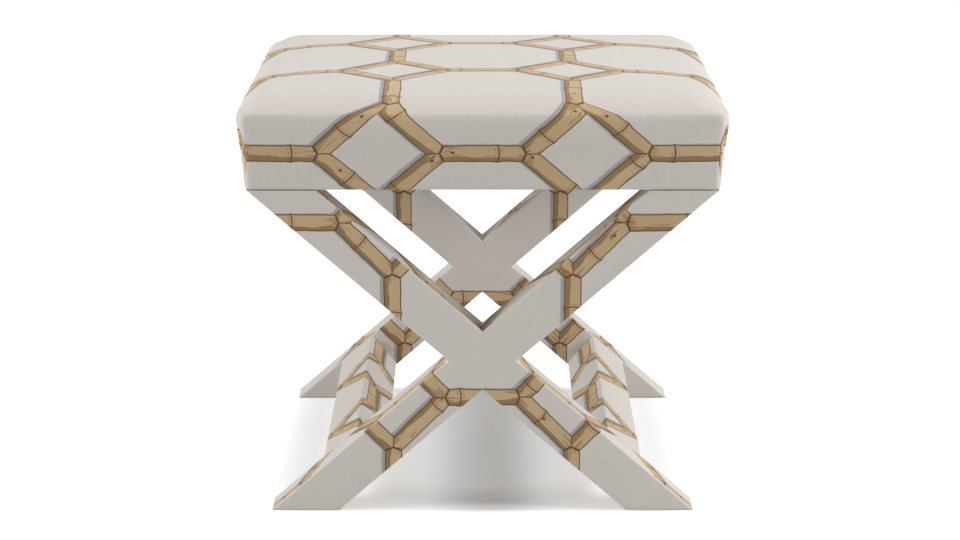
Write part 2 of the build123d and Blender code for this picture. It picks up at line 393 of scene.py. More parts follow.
def settle(piece: Object, finish: Material, slot: str, *nodes: str) -> Object:
    """Dress a piece and let it stand for its solids.

    Args:
        piece: The piece.
        finish: Its material.
        slot: The record's material slot; not used.
        nodes: The solids that it stands for.

    Returns:
        The piece.
    """
    piece.data.materials.clear()
    piece.data.materials.append(finish)
    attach(piece, BODY)
    if nodes:
        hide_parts(*nodes)
    LOG.info("%s: %d faces", piece.name, len(piece.data.polygons))
    return piece


def stacked(*parts: "np.ndarray | float") -> np.ndarray:
    """Join coordinates into points.

    Args:
        parts: The coordinates, which are spread to one shape.

    Returns:
        The points, with the coordinates last.
    """
    return np.stack(np.broadcast_arrays(*parts), -1)


def eased(values: np.ndarray, start: float, reach: float) -> np.ndarray:
    """Rise softly from 0 to 1.

    Args:
        values: The values.
        start: Value that gives 0.
        reach: How much more gives 1.

    Returns:
        The shares.
    """
    share = np.clip((values - start) / reach, 0, 1)
    return share * share * (3 - 2 * share)


def edge_drop(distance: np.ndarray, radius: float) -> np.ndarray:
    """How far a rounded edge falls away.

    Args:
        distance: Distance from the edge.
        radius: Radius of the rounding.

    Returns:
        The fall at each distance.
    """
    inside = np.clip(1 - distance / radius, 0, 1)
    return radius * (1 - np.sqrt(1 - inside**2))


def spread(stops: Sequence[float], width: float) -> np.ndarray:
    """Places across a width that lie close together near both edges.

    Args:
        stops: Distances from an edge, up to under half the width.
        width: The width.

    Returns:
        The places, from 0 to the width.
    """
    near = np.array(stops)
    return np.concatenate([near, width - near[::-1]])


# Node trees


@dataclass(frozen=True)
class Term:
    """A value in a node tree, which can be reckoned with.

    Args:
        tree: The node tree.
        socket: The output that holds the value.
    """

    tree: NodeTree
    socket: NodeSocket

    def math(self, operation: str, *others: "Term | float") -> "Term":
        """Put the value through a Math node.

        Args:
            operation: The node's operation.
            others: Its other inputs.

        Returns:
            The result.
        """
        node = self.tree.nodes.new("ShaderNodeMath")
        node.operation = operation
        for socket, value in zip(node.inputs, (self, *others)):
            plug(self.tree, value, socket)
        return Term(self.tree, node.outputs[0])

    def __add__(self, other: "Term | float") -> "Term":
        """Sum."""
        return self.math("ADD", other)

    def __sub__(self, other: "Term | float") -> "Term":
        """Difference."""
        return self.math("SUBTRACT", other)

    def __mul__(self, other: "Term | float") -> "Term":
        """Product."""
        return self.math("MULTIPLY", other)

    def __truediv__(self, other: "Term | float") -> "Term":
        """Quotient."""
        return self.math("DIVIDE", other)

    def __abs__(self) -> "Term":
        """Size without sign."""
        return self.math("ABSOLUTE")

    def less(self, other: "Term | float") -> "Term":
        """1 where the value is less, else 0."""
        return self.math("LESS_THAN", other)

    def least(self, other: "Term | float") -> "Term":
        """The lesser of two values."""
        return self.math("MINIMUM", other)

    def most(self, other: "Term | float") -> "Term":
        """The greater of two values."""
        return self.math("MAXIMUM", other)

    def hypot(self, other: "Term") -> "Term":
        """Length of the diagonal of two values."""
        return (self * self + other * other).math("SQRT")

    def fade(self, low: float, high: float) -> "Term":
        """Rise softly from 0 to 1.

        Args:
            low: Value that gives 0.
            high: Value that gives 1.

        Returns:
            The share.
        """
        node = self.tree.nodes.new("ShaderNodeMapRange")
        node.interpolation_type = "SMOOTHSTEP"
        node.inputs["From Min"].default_value = low
        node.inputs["From Max"].default_value = high
        plug(self.tree, self, node.inputs["Value"])
        return Term(self.tree, node.outputs["Result"])


def plug(tree: NodeTree, value: "Term | float | tuple", socket: NodeSocket) -> None:
    """Link a term to an input, or set the input to a constant.

    Args:
        tree: The node tree.
        value: The term or the constant.
        socket: The input.
    """
    if isinstance(value, Term):
        tree.links.new(value.socket, socket)
    else:
        socket.default_value = value


def noise(tree: NodeTree, place: Term, scale: float, detail: float = 2.0) -> Term:
    """Soft noise.

    Args:
        tree: The node tree.
        place: Where it is read.
        scale: Its scale.
        detail: Its layers of finer noise.

    Returns:
        The noise, about 0.5.
    """
    node = tree.nodes.new("ShaderNodeTexNoise")
    node.inputs["Scale"].default_value = scale
    node.inputs["Detail"].default_value = detail
    plug(tree, place, node.inputs["Vector"])
    return Term(tree, node.outputs["Fac"])


def vector(tree: NodeTree, *parts: "Term | float") -> Term:
    """Join up to three values.

    Args:
        tree: The node tree.
        parts: The values.

    Returns:
        The vector.
    """
    node = tree.nodes.new("ShaderNodeCombineXYZ")
    for socket, part in zip(node.inputs, parts):
        plug(tree, part, socket)
    return Term(tree, node.outputs[0])


def parts_of(tree: NodeTree, place: Term) -> tuple[Term, Term, Term]:
    """Take a vector apart.

    Args:
        tree: The node tree.
        place: The vector.

    Returns:
        Its three values.
    """
    node = tree.nodes.new("ShaderNodeSeparateXYZ")
    plug(tree, place, node.inputs[0])
    return tuple(Term(tree, socket) for socket in node.outputs)


def mixed(tree: NodeTree, share: Term, first: "Term | tuple", second: "Term | tuple") -> Term:
    """Mix two colours.

    Args:
        tree: The node tree.
        share: How much of the second.
        first: The first colour.
        second: The second colour.

    Returns:
        The mixed colour.
    """
    node = tree.nodes.new("ShaderNodeMix")
    node.data_type = "RGBA"
    colours = [socket for socket in node.inputs if socket.type == "RGBA"]
    plug(tree, share, node.inputs[0])
    plug(tree, first, colours[0])
    plug(tree, second, colours[1])
    return Term(tree, next(socket for socket in node.outputs if socket.type == "RGBA"))


def colour(red: int, green: int, blue: int) -> Rgba:
    """A colour as a picture shows it, for a node.

    Args:
        red: From 0 to 255.
        green: From 0 to 255.
        blue: From 0 to 255.

    Returns:
        The linear colour.
    """

    def linear(value: int) -> float:
        """One channel, linear."""
        share = value / 255
        return share / 12.92 if share <= 0.04045 else ((share + 0.055) / 1.055) ** 2.4

    return linear(red), linear(green), linear(blue), 1.0


def new_group(name: str, inputs: Sequence[tuple[str, str]], outputs: Sequence[tuple[str, str]]) -> tuple:
    """Start a shader node group.

    Args:
        name: Its name.
        inputs: Names and kinds of its inputs.
        outputs: Names and kinds of its outputs.

    Returns:
        The group, its inputs as terms by name, and its output node.
    """
    group = bpy.data.node_groups.new(name, "ShaderNodeTree")
    for way, sockets in (("INPUT", inputs), ("OUTPUT", outputs)):
        for label, kind in sockets:
            group.interface.new_socket(label, in_out=way, socket_type=f"NodeSocket{kind}")
    entry = group.nodes.new("NodeGroupInput")
    leave = group.nodes.new("NodeGroupOutput")
    return group, {label: Term(group, entry.outputs[label]) for label, _ in inputs}, leave


def seen_directly(tree: NodeTree) -> Term:
    """1 where the camera looks, also by reflection or through glass, and 0 where light only bounces.

    Args:
        tree: The node tree.

    Returns:
        The term.
    """
    paths = tree.nodes.new("ShaderNodeLightPath")
    seen = Term(tree, paths.outputs["Is Camera Ray"])
    for label in ("Is Glossy Ray", "Is Transmission Ray"):
        seen = seen.most(Term(tree, paths.outputs[label]))
    return seen


def use_group(tree: NodeTree, group: NodeTree, **values: "Term | float | tuple") -> dict[str, Term]:
    """Place a group in a tree.

    Args:
        tree: The tree.
        group: The group.
        values: Its inputs, with _ for a space in their names.

    Returns:
        Its outputs by name.
    """
    node = tree.nodes.new("ShaderNodeGroup")
    node.node_tree = group
    for label, value in values.items():
        plug(tree, value, node.inputs[label.replace("_", " ")])
    return {socket.name: Term(tree, socket) for socket in node.outputs}


class Effects:
    """Node groups that several finishes share, each built once."""

    @staticmethod
    @cache
    def lattice() -> NodeTree:
        """Distances to the canes of a lattice of octagons and diamonds.

        Returns:
            The group.
        """
        inputs = [(label, "Float") for label in ("U", "V", "Period")]
        outputs = [(label, "Float") for label in ("Distance", "Joint", "Across", "Along", "Seed")]
        group, given, leave = new_group("cane_lattice", inputs, outputs)
        u, v, period = given["U"], given["V"], given["Period"]
        half = period * 0.5
        reach = half * (math.sqrt(2) - 1)
        cell_u = (u / period).math("ROUND")
        cell_v = (v / period).math("ROUND")
        x = u - cell_u * period
        y = v - cell_v * period
        far_x, far_y = abs(x), abs(y)
        sign_x, sign_y = x.math("SIGN"), y.math("SIGN")
        # The upright cane at a cell's side, the level one at its top, and the slanting one across its corner
        across_up = x - sign_x * half
        across_level = y - sign_y * half
        across_slant = (far_x + far_y) * math.sqrt(0.5) - half
        along_slant = (far_x - far_y) * math.sqrt(0.5)
        up = across_up.hypot((far_y - reach).most(0.0))
        level = across_level.hypot((far_x - reach).most(0.0))
        slant = across_slant.hypot((abs(along_slant) - reach).most(0.0))
        nearest = up.least(level).least(slant)
        second = up.least(level).most(up.most(level).least(slant))
        is_up = up.less(level.least(slant))
        is_level = level.less(up.least(slant))
        is_slant = is_up.math("ADD", is_level).math("MULTIPLY_ADD", -1.0, 1.0)
        # A slanting cane also meets its twin in the next cell, about a diagonal away
        to_twin = (half - far_x).least(half - far_y) * 1.4 + (is_up + is_level)
        # Uneven weights give every cane a number of its own
        key_up = (u / period - 0.5).math("ROUND") * 3.7 + cell_v * 11.3
        key_level = cell_u * 5.1 + (v / period - 0.5).math("ROUND") * 7.9 + 0.37
        key_slant = cell_u * 2.3 + cell_v * 13.7 + sign_x * 0.21 + sign_y * 0.47
        seed = group.nodes.new("ShaderNodeTexWhiteNoise")
        seed.noise_dimensions = "1D"
        plug(group, is_up * key_up + is_level * key_level + is_slant * key_slant, seed.inputs["W"])
        found = {
            "Distance": nearest,
            "Joint": (second - nearest).least(to_twin),
            "Across": is_up * across_up + is_level * across_level + is_slant * across_slant * sign_x,
            "Along": is_up * y + is_level * x + is_slant * along_slant * sign_y,
            "Seed": Term(group, seed.outputs["Value"]),
        }
        for label, term in found.items():
            plug(group, term, leave.inputs[label])
        return group

    @staticmethod
    @cache
    def weave() -> NodeTree:
        """Plain weave: the height of crossing threads and the slubs of colour in them.

        Returns:
            The group.
        """
        inputs = [("Place", "Vector"), ("Threads", "Float")]
        group, given, leave = new_group("plain_weave", inputs, [("Height", "Float"), ("Slub", "Float")])
        across, along, _ = parts_of(group, given["Place"])
        turn = given["Threads"] * (2 * math.pi)
        warp = (across * turn).math("SINE")
        weft = (along * turn).math("SINE")
        # Slubs are thin across their thread and long along it
        thin, long = 900.0, 18.0
        warp_slub = noise(group, vector(group, across * thin, along * long), 1.0)
        weft_slub = noise(group, vector(group, across * long, along * thin, 3.0), 1.0)
        plug(group, warp * weft * 0.5 + 0.5, leave.inputs["Height"])
        plug(group, (warp_slub + weft_slub) * 0.5, leave.inputs["Slub"])
        return group

    @staticmethod
    @cache
    def timber() -> NodeTree:
        """Wood grain: growth rings and pores, drawn out along X.

        Returns:
            The group.
        """
        group, given, leave = new_group(
            "timber_grain",
            [("Place", "Vector"), ("Light", "Color"), ("Dark", "Color")],
            [("Color", "Color"), ("Roughness", "Float"), ("Height", "Float")],
        )
        x, y, z = parts_of(group, given["Place"])
        ring_along, ring_across, ring_count = 3.0, 40.0, 38.0
        pore_along, pore_across, pore_share = 60.0, 900.0, 0.45
        stretched = vector(group, x * ring_along, y * ring_across, z * ring_across)
        rings = noise(group, stretched, 1.6, 3.0)
        bands = (rings * ring_count).math("SINE") * 0.5 + 0.5
        pores = noise(group, vector(group, x * pore_along, y * pore_across, z * pore_across), 1.0, 1.0)
        tone = bands * (1 - pore_share) + pores.fade(0.52, 0.7) * pore_share
        plug(group, mixed(group, tone, given["Light"], given["Dark"]), leave.inputs["Color"])
        plug(group, tone * 0.15 + 0.55, leave.inputs["Roughness"])
        plug(group, pores * -1.0, leave.inputs["Height"])
        return group


@dataclass(frozen=True)
class Finish:
    """A finish with a name, from which its material is built."""

    name: str = "finish"
    roughness: float = 0.8
    sheen: float = 0.0
    sheen_roughness: float = 0.6
    metallic: float = 0.0
    bump: float = 0.2
    bump_depth: float = 0.0003

    def paint(self, tree: NodeTree) -> dict[str, Term]:
        """Colour, Roughness and Height over the surface.

        Args:
            tree: The material's node tree.

        Returns:
            The terms by name.
        """
        raise NotImplementedError

    def material(self) -> Material:
        """Build the material.

        Returns:
            The material.
        """
        made = bpy.data.materials.new(self.name)
        made.use_nodes = True
        tree = made.node_tree
        shader = tree.nodes["Principled BSDF"]
        shader.inputs["Roughness"].default_value = self.roughness
        shader.inputs["Metallic"].default_value = self.metallic
        shader.inputs["Sheen Weight"].default_value = self.sheen
        shader.inputs["Sheen Roughness"].default_value = self.sheen_roughness
        terms = self.paint(tree)
        plug(tree, terms["Color"], shader.inputs["Base Color"])
        if "Roughness" in terms:
            plug(tree, terms["Roughness"], shader.inputs["Roughness"])
        if "Height" in terms:
            relief = tree.nodes.new("ShaderNodeBump")
            relief.inputs["Strength"].default_value = self.bump
            relief.inputs["Distance"].default_value = self.bump_depth
            plug(tree, terms["Height"], relief.inputs["Height"])
            tree.links.new(relief.outputs["Normal"], shader.inputs["Normal"])
        return made

    def place(self, tree: NodeTree, kind: str = "Object") -> Term:
        """Coordinates of the surface.

        Args:
            tree: The material's node tree.
            kind: Object, or UV for the piece's own map.

        Returns:
            The coordinates.
        """
        if kind == "UV":
            node = tree.nodes.new("ShaderNodeUVMap")
            node.uv_map = PRINT_MAP
            return Term(tree, node.outputs["UV"])
        return Term(tree, tree.nodes.new("ShaderNodeTexCoord").outputs[kind])


class Ink(Enum):
    """Colours of the printed fabric, as a picture shows them."""

    GROUND = (222, 215, 208)
    SLUB = (217, 210, 203)
    CAST_SHADE = (150, 151, 155)
    CANE = (209, 182, 143)
    DEEP_CANE = (196, 166, 123)
    DARK_SIDE = (150, 120, 79)
    STREAK = (164, 128, 84)
    SECOND_RING = (142, 92, 62)
    RING = (118, 72, 48)
    KNOT = (84, 55, 40)
    LINE = (92, 64, 42)

    @property
    def linear(self) -> Rgba:
        """The colour for a node."""
        return colour(*self.value)


@dataclass(frozen=True)
class PrintedFabric(Finish):
    """Pale linen cloth with a printed lattice of canes.

    Sizes are in metres. A pair holds the two values between which something drawn fades in.
    """

    name: str = "printed_fabric"
    roughness: float = 0.85
    sheen: float = 0.12
    bump: float = 0.25
    bump_depth: float = 0.00025
    threads_per_metre: float = 1300.0
    period: float = 0.19
    cane_width: float = 0.0172
    edge_soft: float = 0.0003
    line_width: float = 0.0011
    wander: float = 0.0022
    wander_scale: float = 34.0
    shadow_shift: Pair = (0.0042, -0.0014)
    shadow_edge: Pair = (0.0011, -0.0006)
    shadow_strength: float = 0.78
    ring_drift: float = 0.05
    ring_bend: float = 18.0
    ring_line: Pair = (0.0011, 0.0005)
    ring_swell: float = 0.0009
    swell_reach: float = 0.006
    second_ring_gap: float = 0.003
    second_ring_line: Pair = (0.0007, 0.0003)
    dark_side: Pair = (-0.36, -0.5)
    streaks: Pair = (0.66, 0.72)
    knot_drift: float = 0.055
    knot_stretch: float = 1.5
    knot_size: Pair = (0.0016, 0.0009)
    dots_size: Pair = (0.0062, 0.0035)
    knotted: Pair = (0.36, 0.37)

    def paint(self, tree: NodeTree) -> dict[str, Term]:
        """Ground, soft printed shade and canes, one over the other.

        Args:
            tree: The material's node tree.

        Returns:
            The terms by name.
        """
        place = self.place(tree, "UV")
        u, v, _ = parts_of(tree, place)
        weave = use_group(tree, Effects.weave(), Place=place, Threads=self.threads_per_metre)
        # A drawn line is never quite straight
        u = u + (noise(tree, place, self.wander_scale) - 0.5) * self.wander
        v = v + (noise(tree, vector(tree, v, u, 2.0), self.wander_scale) - 0.5) * self.wander
        half = self.cane_width / 2
        line = self.line_width
        lattice = use_group(tree, Effects.lattice(), U=u, V=v, Period=self.period)
        shift_u, shift_v = self.shadow_shift
        shade = use_group(tree, Effects.lattice(), U=u + shift_u, V=v + shift_v, Period=self.period)
        distance, across, along, seed = (lattice[k] for k in ("Distance", "Across", "Along", "Seed"))
        # Each cane swells a little at its ring
        ring_at = along - (seed - 0.5) * self.ring_drift
        from_ring = abs(ring_at + across * across * self.ring_bend)
        swell = from_ring.fade(self.swell_reach, 0.0) * self.ring_swell
        edge = distance - swell
        cane = edge.fade(half + self.edge_soft, half - self.edge_soft)
        outline = abs(edge - half).fade(line * 0.75, line * 0.35)
        joint = lattice["Joint"].fade(line * 1.2, line * 0.4) * edge.less(half)
        # The side away from the light is drawn darker, with a ragged border that runs to points at the ends
        grain = noise(tree, vector(tree, along * 26.0, across * 210.0, seed * 40.0), 1.0, 2.5)
        fine = noise(tree, vector(tree, along * 70.0, across * 900.0, seed * 17.0), 1.0, 1.0)
        ends = abs(along).fade(self.period * 0.09, self.period * 0.2)
        side = across / half + (grain - 0.5) * (ends * 2.6 + 1.1)
        dark_side = side.fade(*self.dark_side)
        streaks = (grain + ends * 0.16).fade(*self.streaks)
        ring = from_ring.fade(*self.ring_line)
        second_ring = abs(from_ring - self.second_ring_gap).fade(*self.second_ring_line)
        second_ring = second_ring * fine.fade(0.4, 0.55)
        # Some canes have a knot with fine dots round it
        knot_along = (along + (seed - 0.3) * self.knot_drift) / self.knot_stretch
        knot = knot_along.hypot(across - 0.0012).fade(*self.knot_size) * seed.fade(*self.knotted)
        dots = knot_along.hypot(across - 0.001).fade(*self.dots_size) * fine.fade(0.63, 0.68)
        dots = dots * seed.fade(*self.knotted)
        tan = mixed(tree, fine * 0.5 + seed * 0.5, Ink.CANE.linear, Ink.DEEP_CANE.linear)
        tan = mixed(tree, dark_side, tan, Ink.DARK_SIDE.linear)
        tan = mixed(tree, streaks * 0.75, tan, Ink.STREAK.linear)
        tan = mixed(tree, second_ring * 0.6, tan, Ink.SECOND_RING.linear)
        tan = mixed(tree, ring, tan, Ink.RING.linear)
        tan = mixed(tree, knot.most(dots * 0.85), tan, Ink.KNOT.linear)
        tan = mixed(tree, joint.most(outline), tan, Ink.LINE.linear)
        ground = mixed(tree, weave["Slub"].fade(0.3, 0.7), Ink.GROUND.linear, Ink.SLUB.linear)
        cast = shade["Distance"].fade(half + self.shadow_edge[0], half + self.shadow_edge[1])
        ground = mixed(tree, cast * self.shadow_strength, ground, Ink.CAST_SHADE.linear)
        printed = mixed(tree, cane.most(outline), ground, tan)
        return {"Color": printed, "Height": weave["Height"], "Roughness": weave["Slub"] * 0.12 + 0.8}


@dataclass(frozen=True)
class Timber(Finish):
    """Sawn wood or plywood."""

    name: str = "frame_wood"
    light: Rgb = (212, 182, 140)
    dark: Rgb = (174, 136, 92)
    bump: float = 0.3

    def paint(self, tree: NodeTree) -> dict[str, Term]:
        """Grain from the shared group.

        Args:
            tree: The material's node tree.

        Returns:
            The terms by name.
        """
        tones = {"Light": colour(*self.light), "Dark": colour(*self.dark)}
        return use_group(tree, Effects.timber(), Place=self.place(tree), **tones)


@dataclass(frozen=True)
class Fill(Finish):
    """Foam or fibre: a pale mass with cells or strands."""

    name: str = "foam"
    light: Rgb = (240, 232, 204)
    dark: Rgb = (214, 202, 168)
    cell: float = 700.0
    strands: float = 1.0
    roughness: float = 0.95
    bump: float = 0.6

    def paint(self, tree: NodeTree) -> dict[str, Term]:
        """Cells from Voronoi noise, drawn out where there are strands.

        Args:
            tree: The material's node tree.

        Returns:
            The terms by name.
        """
        x, y, z = parts_of(tree, self.place(tree))
        place = vector(tree, x, y * self.strands, z * self.strands)
        cells = tree.nodes.new("ShaderNodeTexVoronoi")
        cells.inputs["Scale"].default_value = self.cell
        plug(tree, place, cells.inputs["Vector"])
        depth = Term(tree, cells.outputs["Distance"])
        tone = noise(tree, place, self.cell / 12) * 0.6 + depth * 0.4
        return {"Color": mixed(tree, tone, colour(*self.light), colour(*self.dark)), "Height": depth}


@dataclass(frozen=True)
class DustCloth(Finish):
    """Black non-woven cloth with pressed dimples."""

    name: str = "dust_cloth"
    roughness: float = 0.9
    sheen: float = 0.1
    bump: float = 0.5
    dimples_per_metre: float = 420.0
    light: Rgb = (58, 57, 57)
    dark: Rgb = (30, 30, 31)

    def paint(self, tree: NodeTree) -> dict[str, Term]:
        """Dimples in rows and loose fibre tone.

        Args:
            tree: The material's node tree.

        Returns:
            The terms by name.
        """
        place = self.place(tree)
        height = use_group(tree, Effects.weave(), Place=place, Threads=self.dimples_per_metre)["Height"]
        tone = noise(tree, place, 160.0, 4.0) * 0.7 + height * 0.3
        return {"Color": mixed(tree, tone, colour(*self.dark), colour(*self.light)), "Height": height}


@dataclass(frozen=True)
class ScrewSteel(Finish):
    """Zinc-plated steel."""

    name: str = "screw_steel"
    roughness: float = 0.35
    metallic: float = 1.0
    bump: float = 0.1
    light: Rgb = (206, 205, 200)
    dark: Rgb = (170, 168, 160)

    def paint(self, tree: NodeTree) -> dict[str, Term]:
        """Brushed tone with a little yellow from the plating.

        Args:
            tree: The material's node tree.

        Returns:
            The terms by name.
        """
        tone = noise(tree, self.place(tree), 420.0, 3.0)
        return {
            "Color": mixed(tree, tone, colour(*self.light), colour(*self.dark)),
            "Roughness": tone * 0.25 + 0.25,
            "Height": tone,
        }


class Wardrobe:
    """The bench's finishes, each built once."""

    def __init__(self) -> None:
        """Build every material."""
        self.fabric = PrintedFabric().material()
        self.wood = Timber().material()
        self.plywood = Timber(name="plywood", light=(222, 196, 154), dark=(190, 156, 112)).material()
        self.foam = Fill().material()
        self.wadding = Fill(
            name="wadding", light=(244, 244, 240), dark=(222, 222, 218), cell=260.0, strands=6.0
        ).material()
        self.dust_cloth = DustCloth().material()
        self.steel = ScrewSteel().material()


# The seat


@dataclass(frozen=True)
class SeatRow:
    """A level line round the seat.

    Args:
        z: Its height.
        draw: How far it is drawn in from the widest line.
        corner: Radius of its corners.
    """

    z: float
    draw: float
    corner: float

    @classmethod
    def on_edge(cls, top_z: float, rim: float, radius: float, turn: float) -> "SeatRow":
        """A row on a soft edge that rolls over from a flat top.

        Args:
            top_z: Height of the top's edges.
            rim: How far in from the widest line the edge starts to roll.
            radius: Radius of the roll.
            turn: How far the edge has rolled there, in radians.

        Returns:
            The row.
        """
        out = radius * math.sin(turn)
        return cls(top_z - radius + radius * math.cos(turn), rim - out, out)


@dataclass(frozen=True)
class SoftBox:
    """A box with a crowned top and a soft upper edge.

    Args:
        half: Half its width and depth.
        rim: How far in its soft edge starts.
        radius: Radius of its soft edge.
        top_z: Height of the top's edges.
        crown: Rise of the top's middle.
        rows: Rows of the sides, from the shoulder of the soft edge down.
    """

    half: Pair
    rim: float
    radius: float
    top_z: float
    crown: float
    rows: list[SeatRow]

    @property
    def falls(self) -> list[float]:
        """Way down the side from each row to the next."""
        return [math.hypot(b.z - a.z, b.draw - a.draw) for a, b in zip(self.rows, self.rows[1:])]


@dataclass
class Seat:
    """The boxed seat: top panel, four bands, wadding and foam, with sizes in metres."""

    wardrobe: Wardrobe
    sizes: BenchSizes = SIZES
    step: float = 0.0075
    corner_steps: int = 6
    # The top and its soft edge, which steepens from the shoulder to the seam
    sewn_crown: float = 0.0036
    edge_lift: float = 0.0003
    corner_droop: float = 0.0015
    droop_reach: float = 0.05
    droop_lead: float = 0.8
    rim: float = 0.0436
    roll_radius: float = 0.06
    shoulder: float = math.radians(28)
    shoulder_shares: Series = (0.0, 0.2, 0.4, 0.6, 0.78, 0.91, 1.0)
    shoulder_fall: Pair = (1.88, -0.52)
    # The seam and the bands under it
    seam_lift: float = 0.0016
    seam_corner: float = 0.013
    crease: float = 0.0001
    corner_crease: float = 0.0007
    fullness: float = 0.0018
    band_shares: Series = (0.12, 0.3, 0.6, 1.0)
    band_heights: Series = (
        0.4185, 0.413, 0.407, 0.401, 0.395, 0.389, 0.383, 0.377, 0.371, 0.364, 0.3585, 0.355
    )
    band_belly: float = 0.09
    band_bulge: float = 0.002
    bulge_corner: float = 0.012
    bulge_fade: float = 0.055
    band_cut: float = 0.118
    # The lower edge, as rise, draw and corner of each row, and the draw of the rows under the rails
    foot_lift: float = 0.0003
    foot_corner: float = 0.007
    fold_rows: tuple[Triple, ...] = (
        (0.0022, 0.0064, 0.0066),
        (0.0007, 0.0076, 0.0056),
        (0.0, 0.0095, 0.004),
    )
    turned_under: Series = (0.016, 0.028, 0.0435)
    under_corner: float = 0.002
    # The swelling
    swell_frames: int = 20
    swell_cap: float = 0.003
    swell_start: float = 0.014
    swell_reach: float = 0.085
    band_cap: float = 0.0008
    pinned_below: float = 0.394
    # The filling
    hollow_radius: float = 0.015
    hollow_corner: float = 0.004
    open_below: float = 0.003
    foam_round: float = 0.016
    foam_gap: float = 0.0006
    ease: float = 0.0004
    cover_gap: float = 0.0003
    wadding_gap: float = 0.0002
    # How close counts as on the level seam, off it, and on a corner's sewn line
    on_seam: float = 1e-4
    off_seam: float = 0.001
    on_corner: float = 2e-4
    corner_reach: float = 0.02

    @property
    def half(self) -> Pair:
        """Half the width and depth at the fullest line."""
        return self.sizes.seat_width / 2 + self.fullness, self.sizes.seat_depth / 2 + self.fullness

    @property
    def edge_z(self) -> float:
        """Height of the middle of the top's edges."""
        return self.sizes.edge_z + self.edge_lift

    @property
    def seam_z(self) -> float:
        """Height of the level seam."""
        return self.sizes.seam_z + self.seam_lift

    @property
    def spring_z(self) -> float:
        """Height of the fullest line."""
        return self.edge_z - self.sizes.edge_radius

    @property
    def straight_steps(self) -> tuple[int, ...]:
        """Steps of the net along the straight of the width and of the depth."""
        reaches = (self.sizes.seat_width / 2, self.sizes.seat_depth / 2)
        return tuple(2 * round((reach - self.sizes.edge_radius) / self.step) for reach in reaches)

    def rows(self) -> list[SeatRow]:
        """Rows from the shoulder of the soft edge down the side and in under the rails.

        Returns:
            The rows.
        """
        s = self.sizes
        first = SeatRow.on_edge(self.edge_z, self.rim, self.roll_radius, self.shoulder)
        fall = first.z - self.seam_z
        found = []
        for share in self.shoulder_shares:
            draw = first.draw - fall * share * (self.shoulder_fall[0] + self.shoulder_fall[1] * share)
            corner = first.corner + (self.seam_corner - first.corner) * share
            found.append(SeatRow(first.z - fall * share, draw, corner))
        spring = self.spring_z
        seam = found[-1]
        for share in self.band_shares:
            draw = seam.draw * (1 - share) ** 2
            corner = self.seam_corner + (self.bulge_corner - self.seam_corner) * share
            found.append(SeatRow(seam.z + (spring - seam.z) * share, draw, corner))
        foot = s.leg_height + self.foot_lift
        for z in self.band_heights:
            down = (spring - z) / (spring - foot)
            draw = (s.side_draw + self.fullness) * (down + self.band_belly * math.sin(math.pi * down))
            corner = self.bulge_corner + (self.foot_corner - self.bulge_corner) * down
            found.append(SeatRow(z, draw, corner))
        for z, draw, corner in self.fold_rows:
            found.append(SeatRow(foot + z, draw + self.fullness, corner))
        for draw in self.turned_under:
            found.append(SeatRow(foot, draw + self.fullness, self.under_corner))
        return found

    def net(self, box: SoftBox) -> Cloth:
        """A soft box as a net of five patches: the top and the four sides.

        Args:
            box: The box.

        Returns:
            The welded net; the top's faces come first, then each side's.
        """
        turns = np.arange(1, self.corner_steps + 1) / self.corner_steps
        ends = np.ones(self.corner_steps)
        lines = []
        for count in self.straight_steps:
            place = np.concatenate([-ends, np.linspace(-1, 1, count + 1), ends])
            turn = np.concatenate([-turns[::-1], np.zeros(count + 1), turns])
            lines.append((place, turn))
        sides = [self.side_patch(side, lines, box) for side in Side]
        return Cloth.weld([self.top_patch(lines, box), *sides])

    def top_patch(self, lines: list, box: SoftBox) -> Patch:
        """The net's top, with the upper part of the soft edge.

        Args:
            lines: Places and turns of the grid's lines both ways.
            box: The box.

        Returns:
            The patch.
        """
        (place_x, turn_x), (place_y, turn_y) = lines
        px, py = np.meshgrid(place_x, place_y[::-1])
        tx, ty = np.meshgrid(turn_x, turn_y[::-1])
        flat_x, flat_y = box.half[0] - box.rim, box.half[1] - box.rim
        size_x, size_y = np.abs(tx), np.abs(ty)
        most, least = np.maximum(size_x, size_y), np.minimum(size_x, size_y)
        share = np.divide(least, most, out=np.zeros_like(most), where=most > 0)
        bearing = np.where(size_x >= size_y, share * math.pi / 4, math.pi / 2 - share * math.pi / 4)
        out = box.radius * np.sin(most * self.shoulder)
        x = px * flat_x + np.sign(tx) * out * np.cos(bearing)
        y = py * flat_y + np.sign(ty) * out * np.sin(bearing)
        z = box.top_z - box.radius + box.radius * np.cos(most * self.shoulder)
        z = z + box.crown * (1 - px**2) * (1 - py**2)
        u = px * flat_x + tx * box.radius * self.shoulder
        v = py * flat_y + ty * box.radius * self.shoulder
        return Patch(stacked(x, y, z), stacked(u, v))

    def side_patch(self, side: Side, lines: list, box: SoftBox) -> Patch:
        """One side of the net, which follows on from the top's print.

        Args:
            side: The side.
            lines: Places and turns of the grid's lines both ways.
            box: The box.

        Returns:
            The patch.
        """
        place, turn = lines[0 if side.is_long else 1]
        reach, depth = box.half if side.is_long else box.half[::-1]
        roll = box.radius * self.shoulder
        down = np.concatenate([[0.0], np.cumsum(box.falls)]) + depth - box.rim + roll
        run = place * (reach - box.rim) + turn * roll
        points, places = [], []
        for row, far in zip(box.rows, down):
            along = place * (reach - row.draw - row.corner) + row.corner * np.sin(turn * math.pi / 4)
            out = depth - row.draw - row.corner + row.corner * np.cos(turn * math.pi / 4)
            points.append(stacked(*side.in_plan(along, out), row.z))
            places.append(stacked(*side.in_plan(run, far)))
        return Patch(np.array(points), np.array(places))

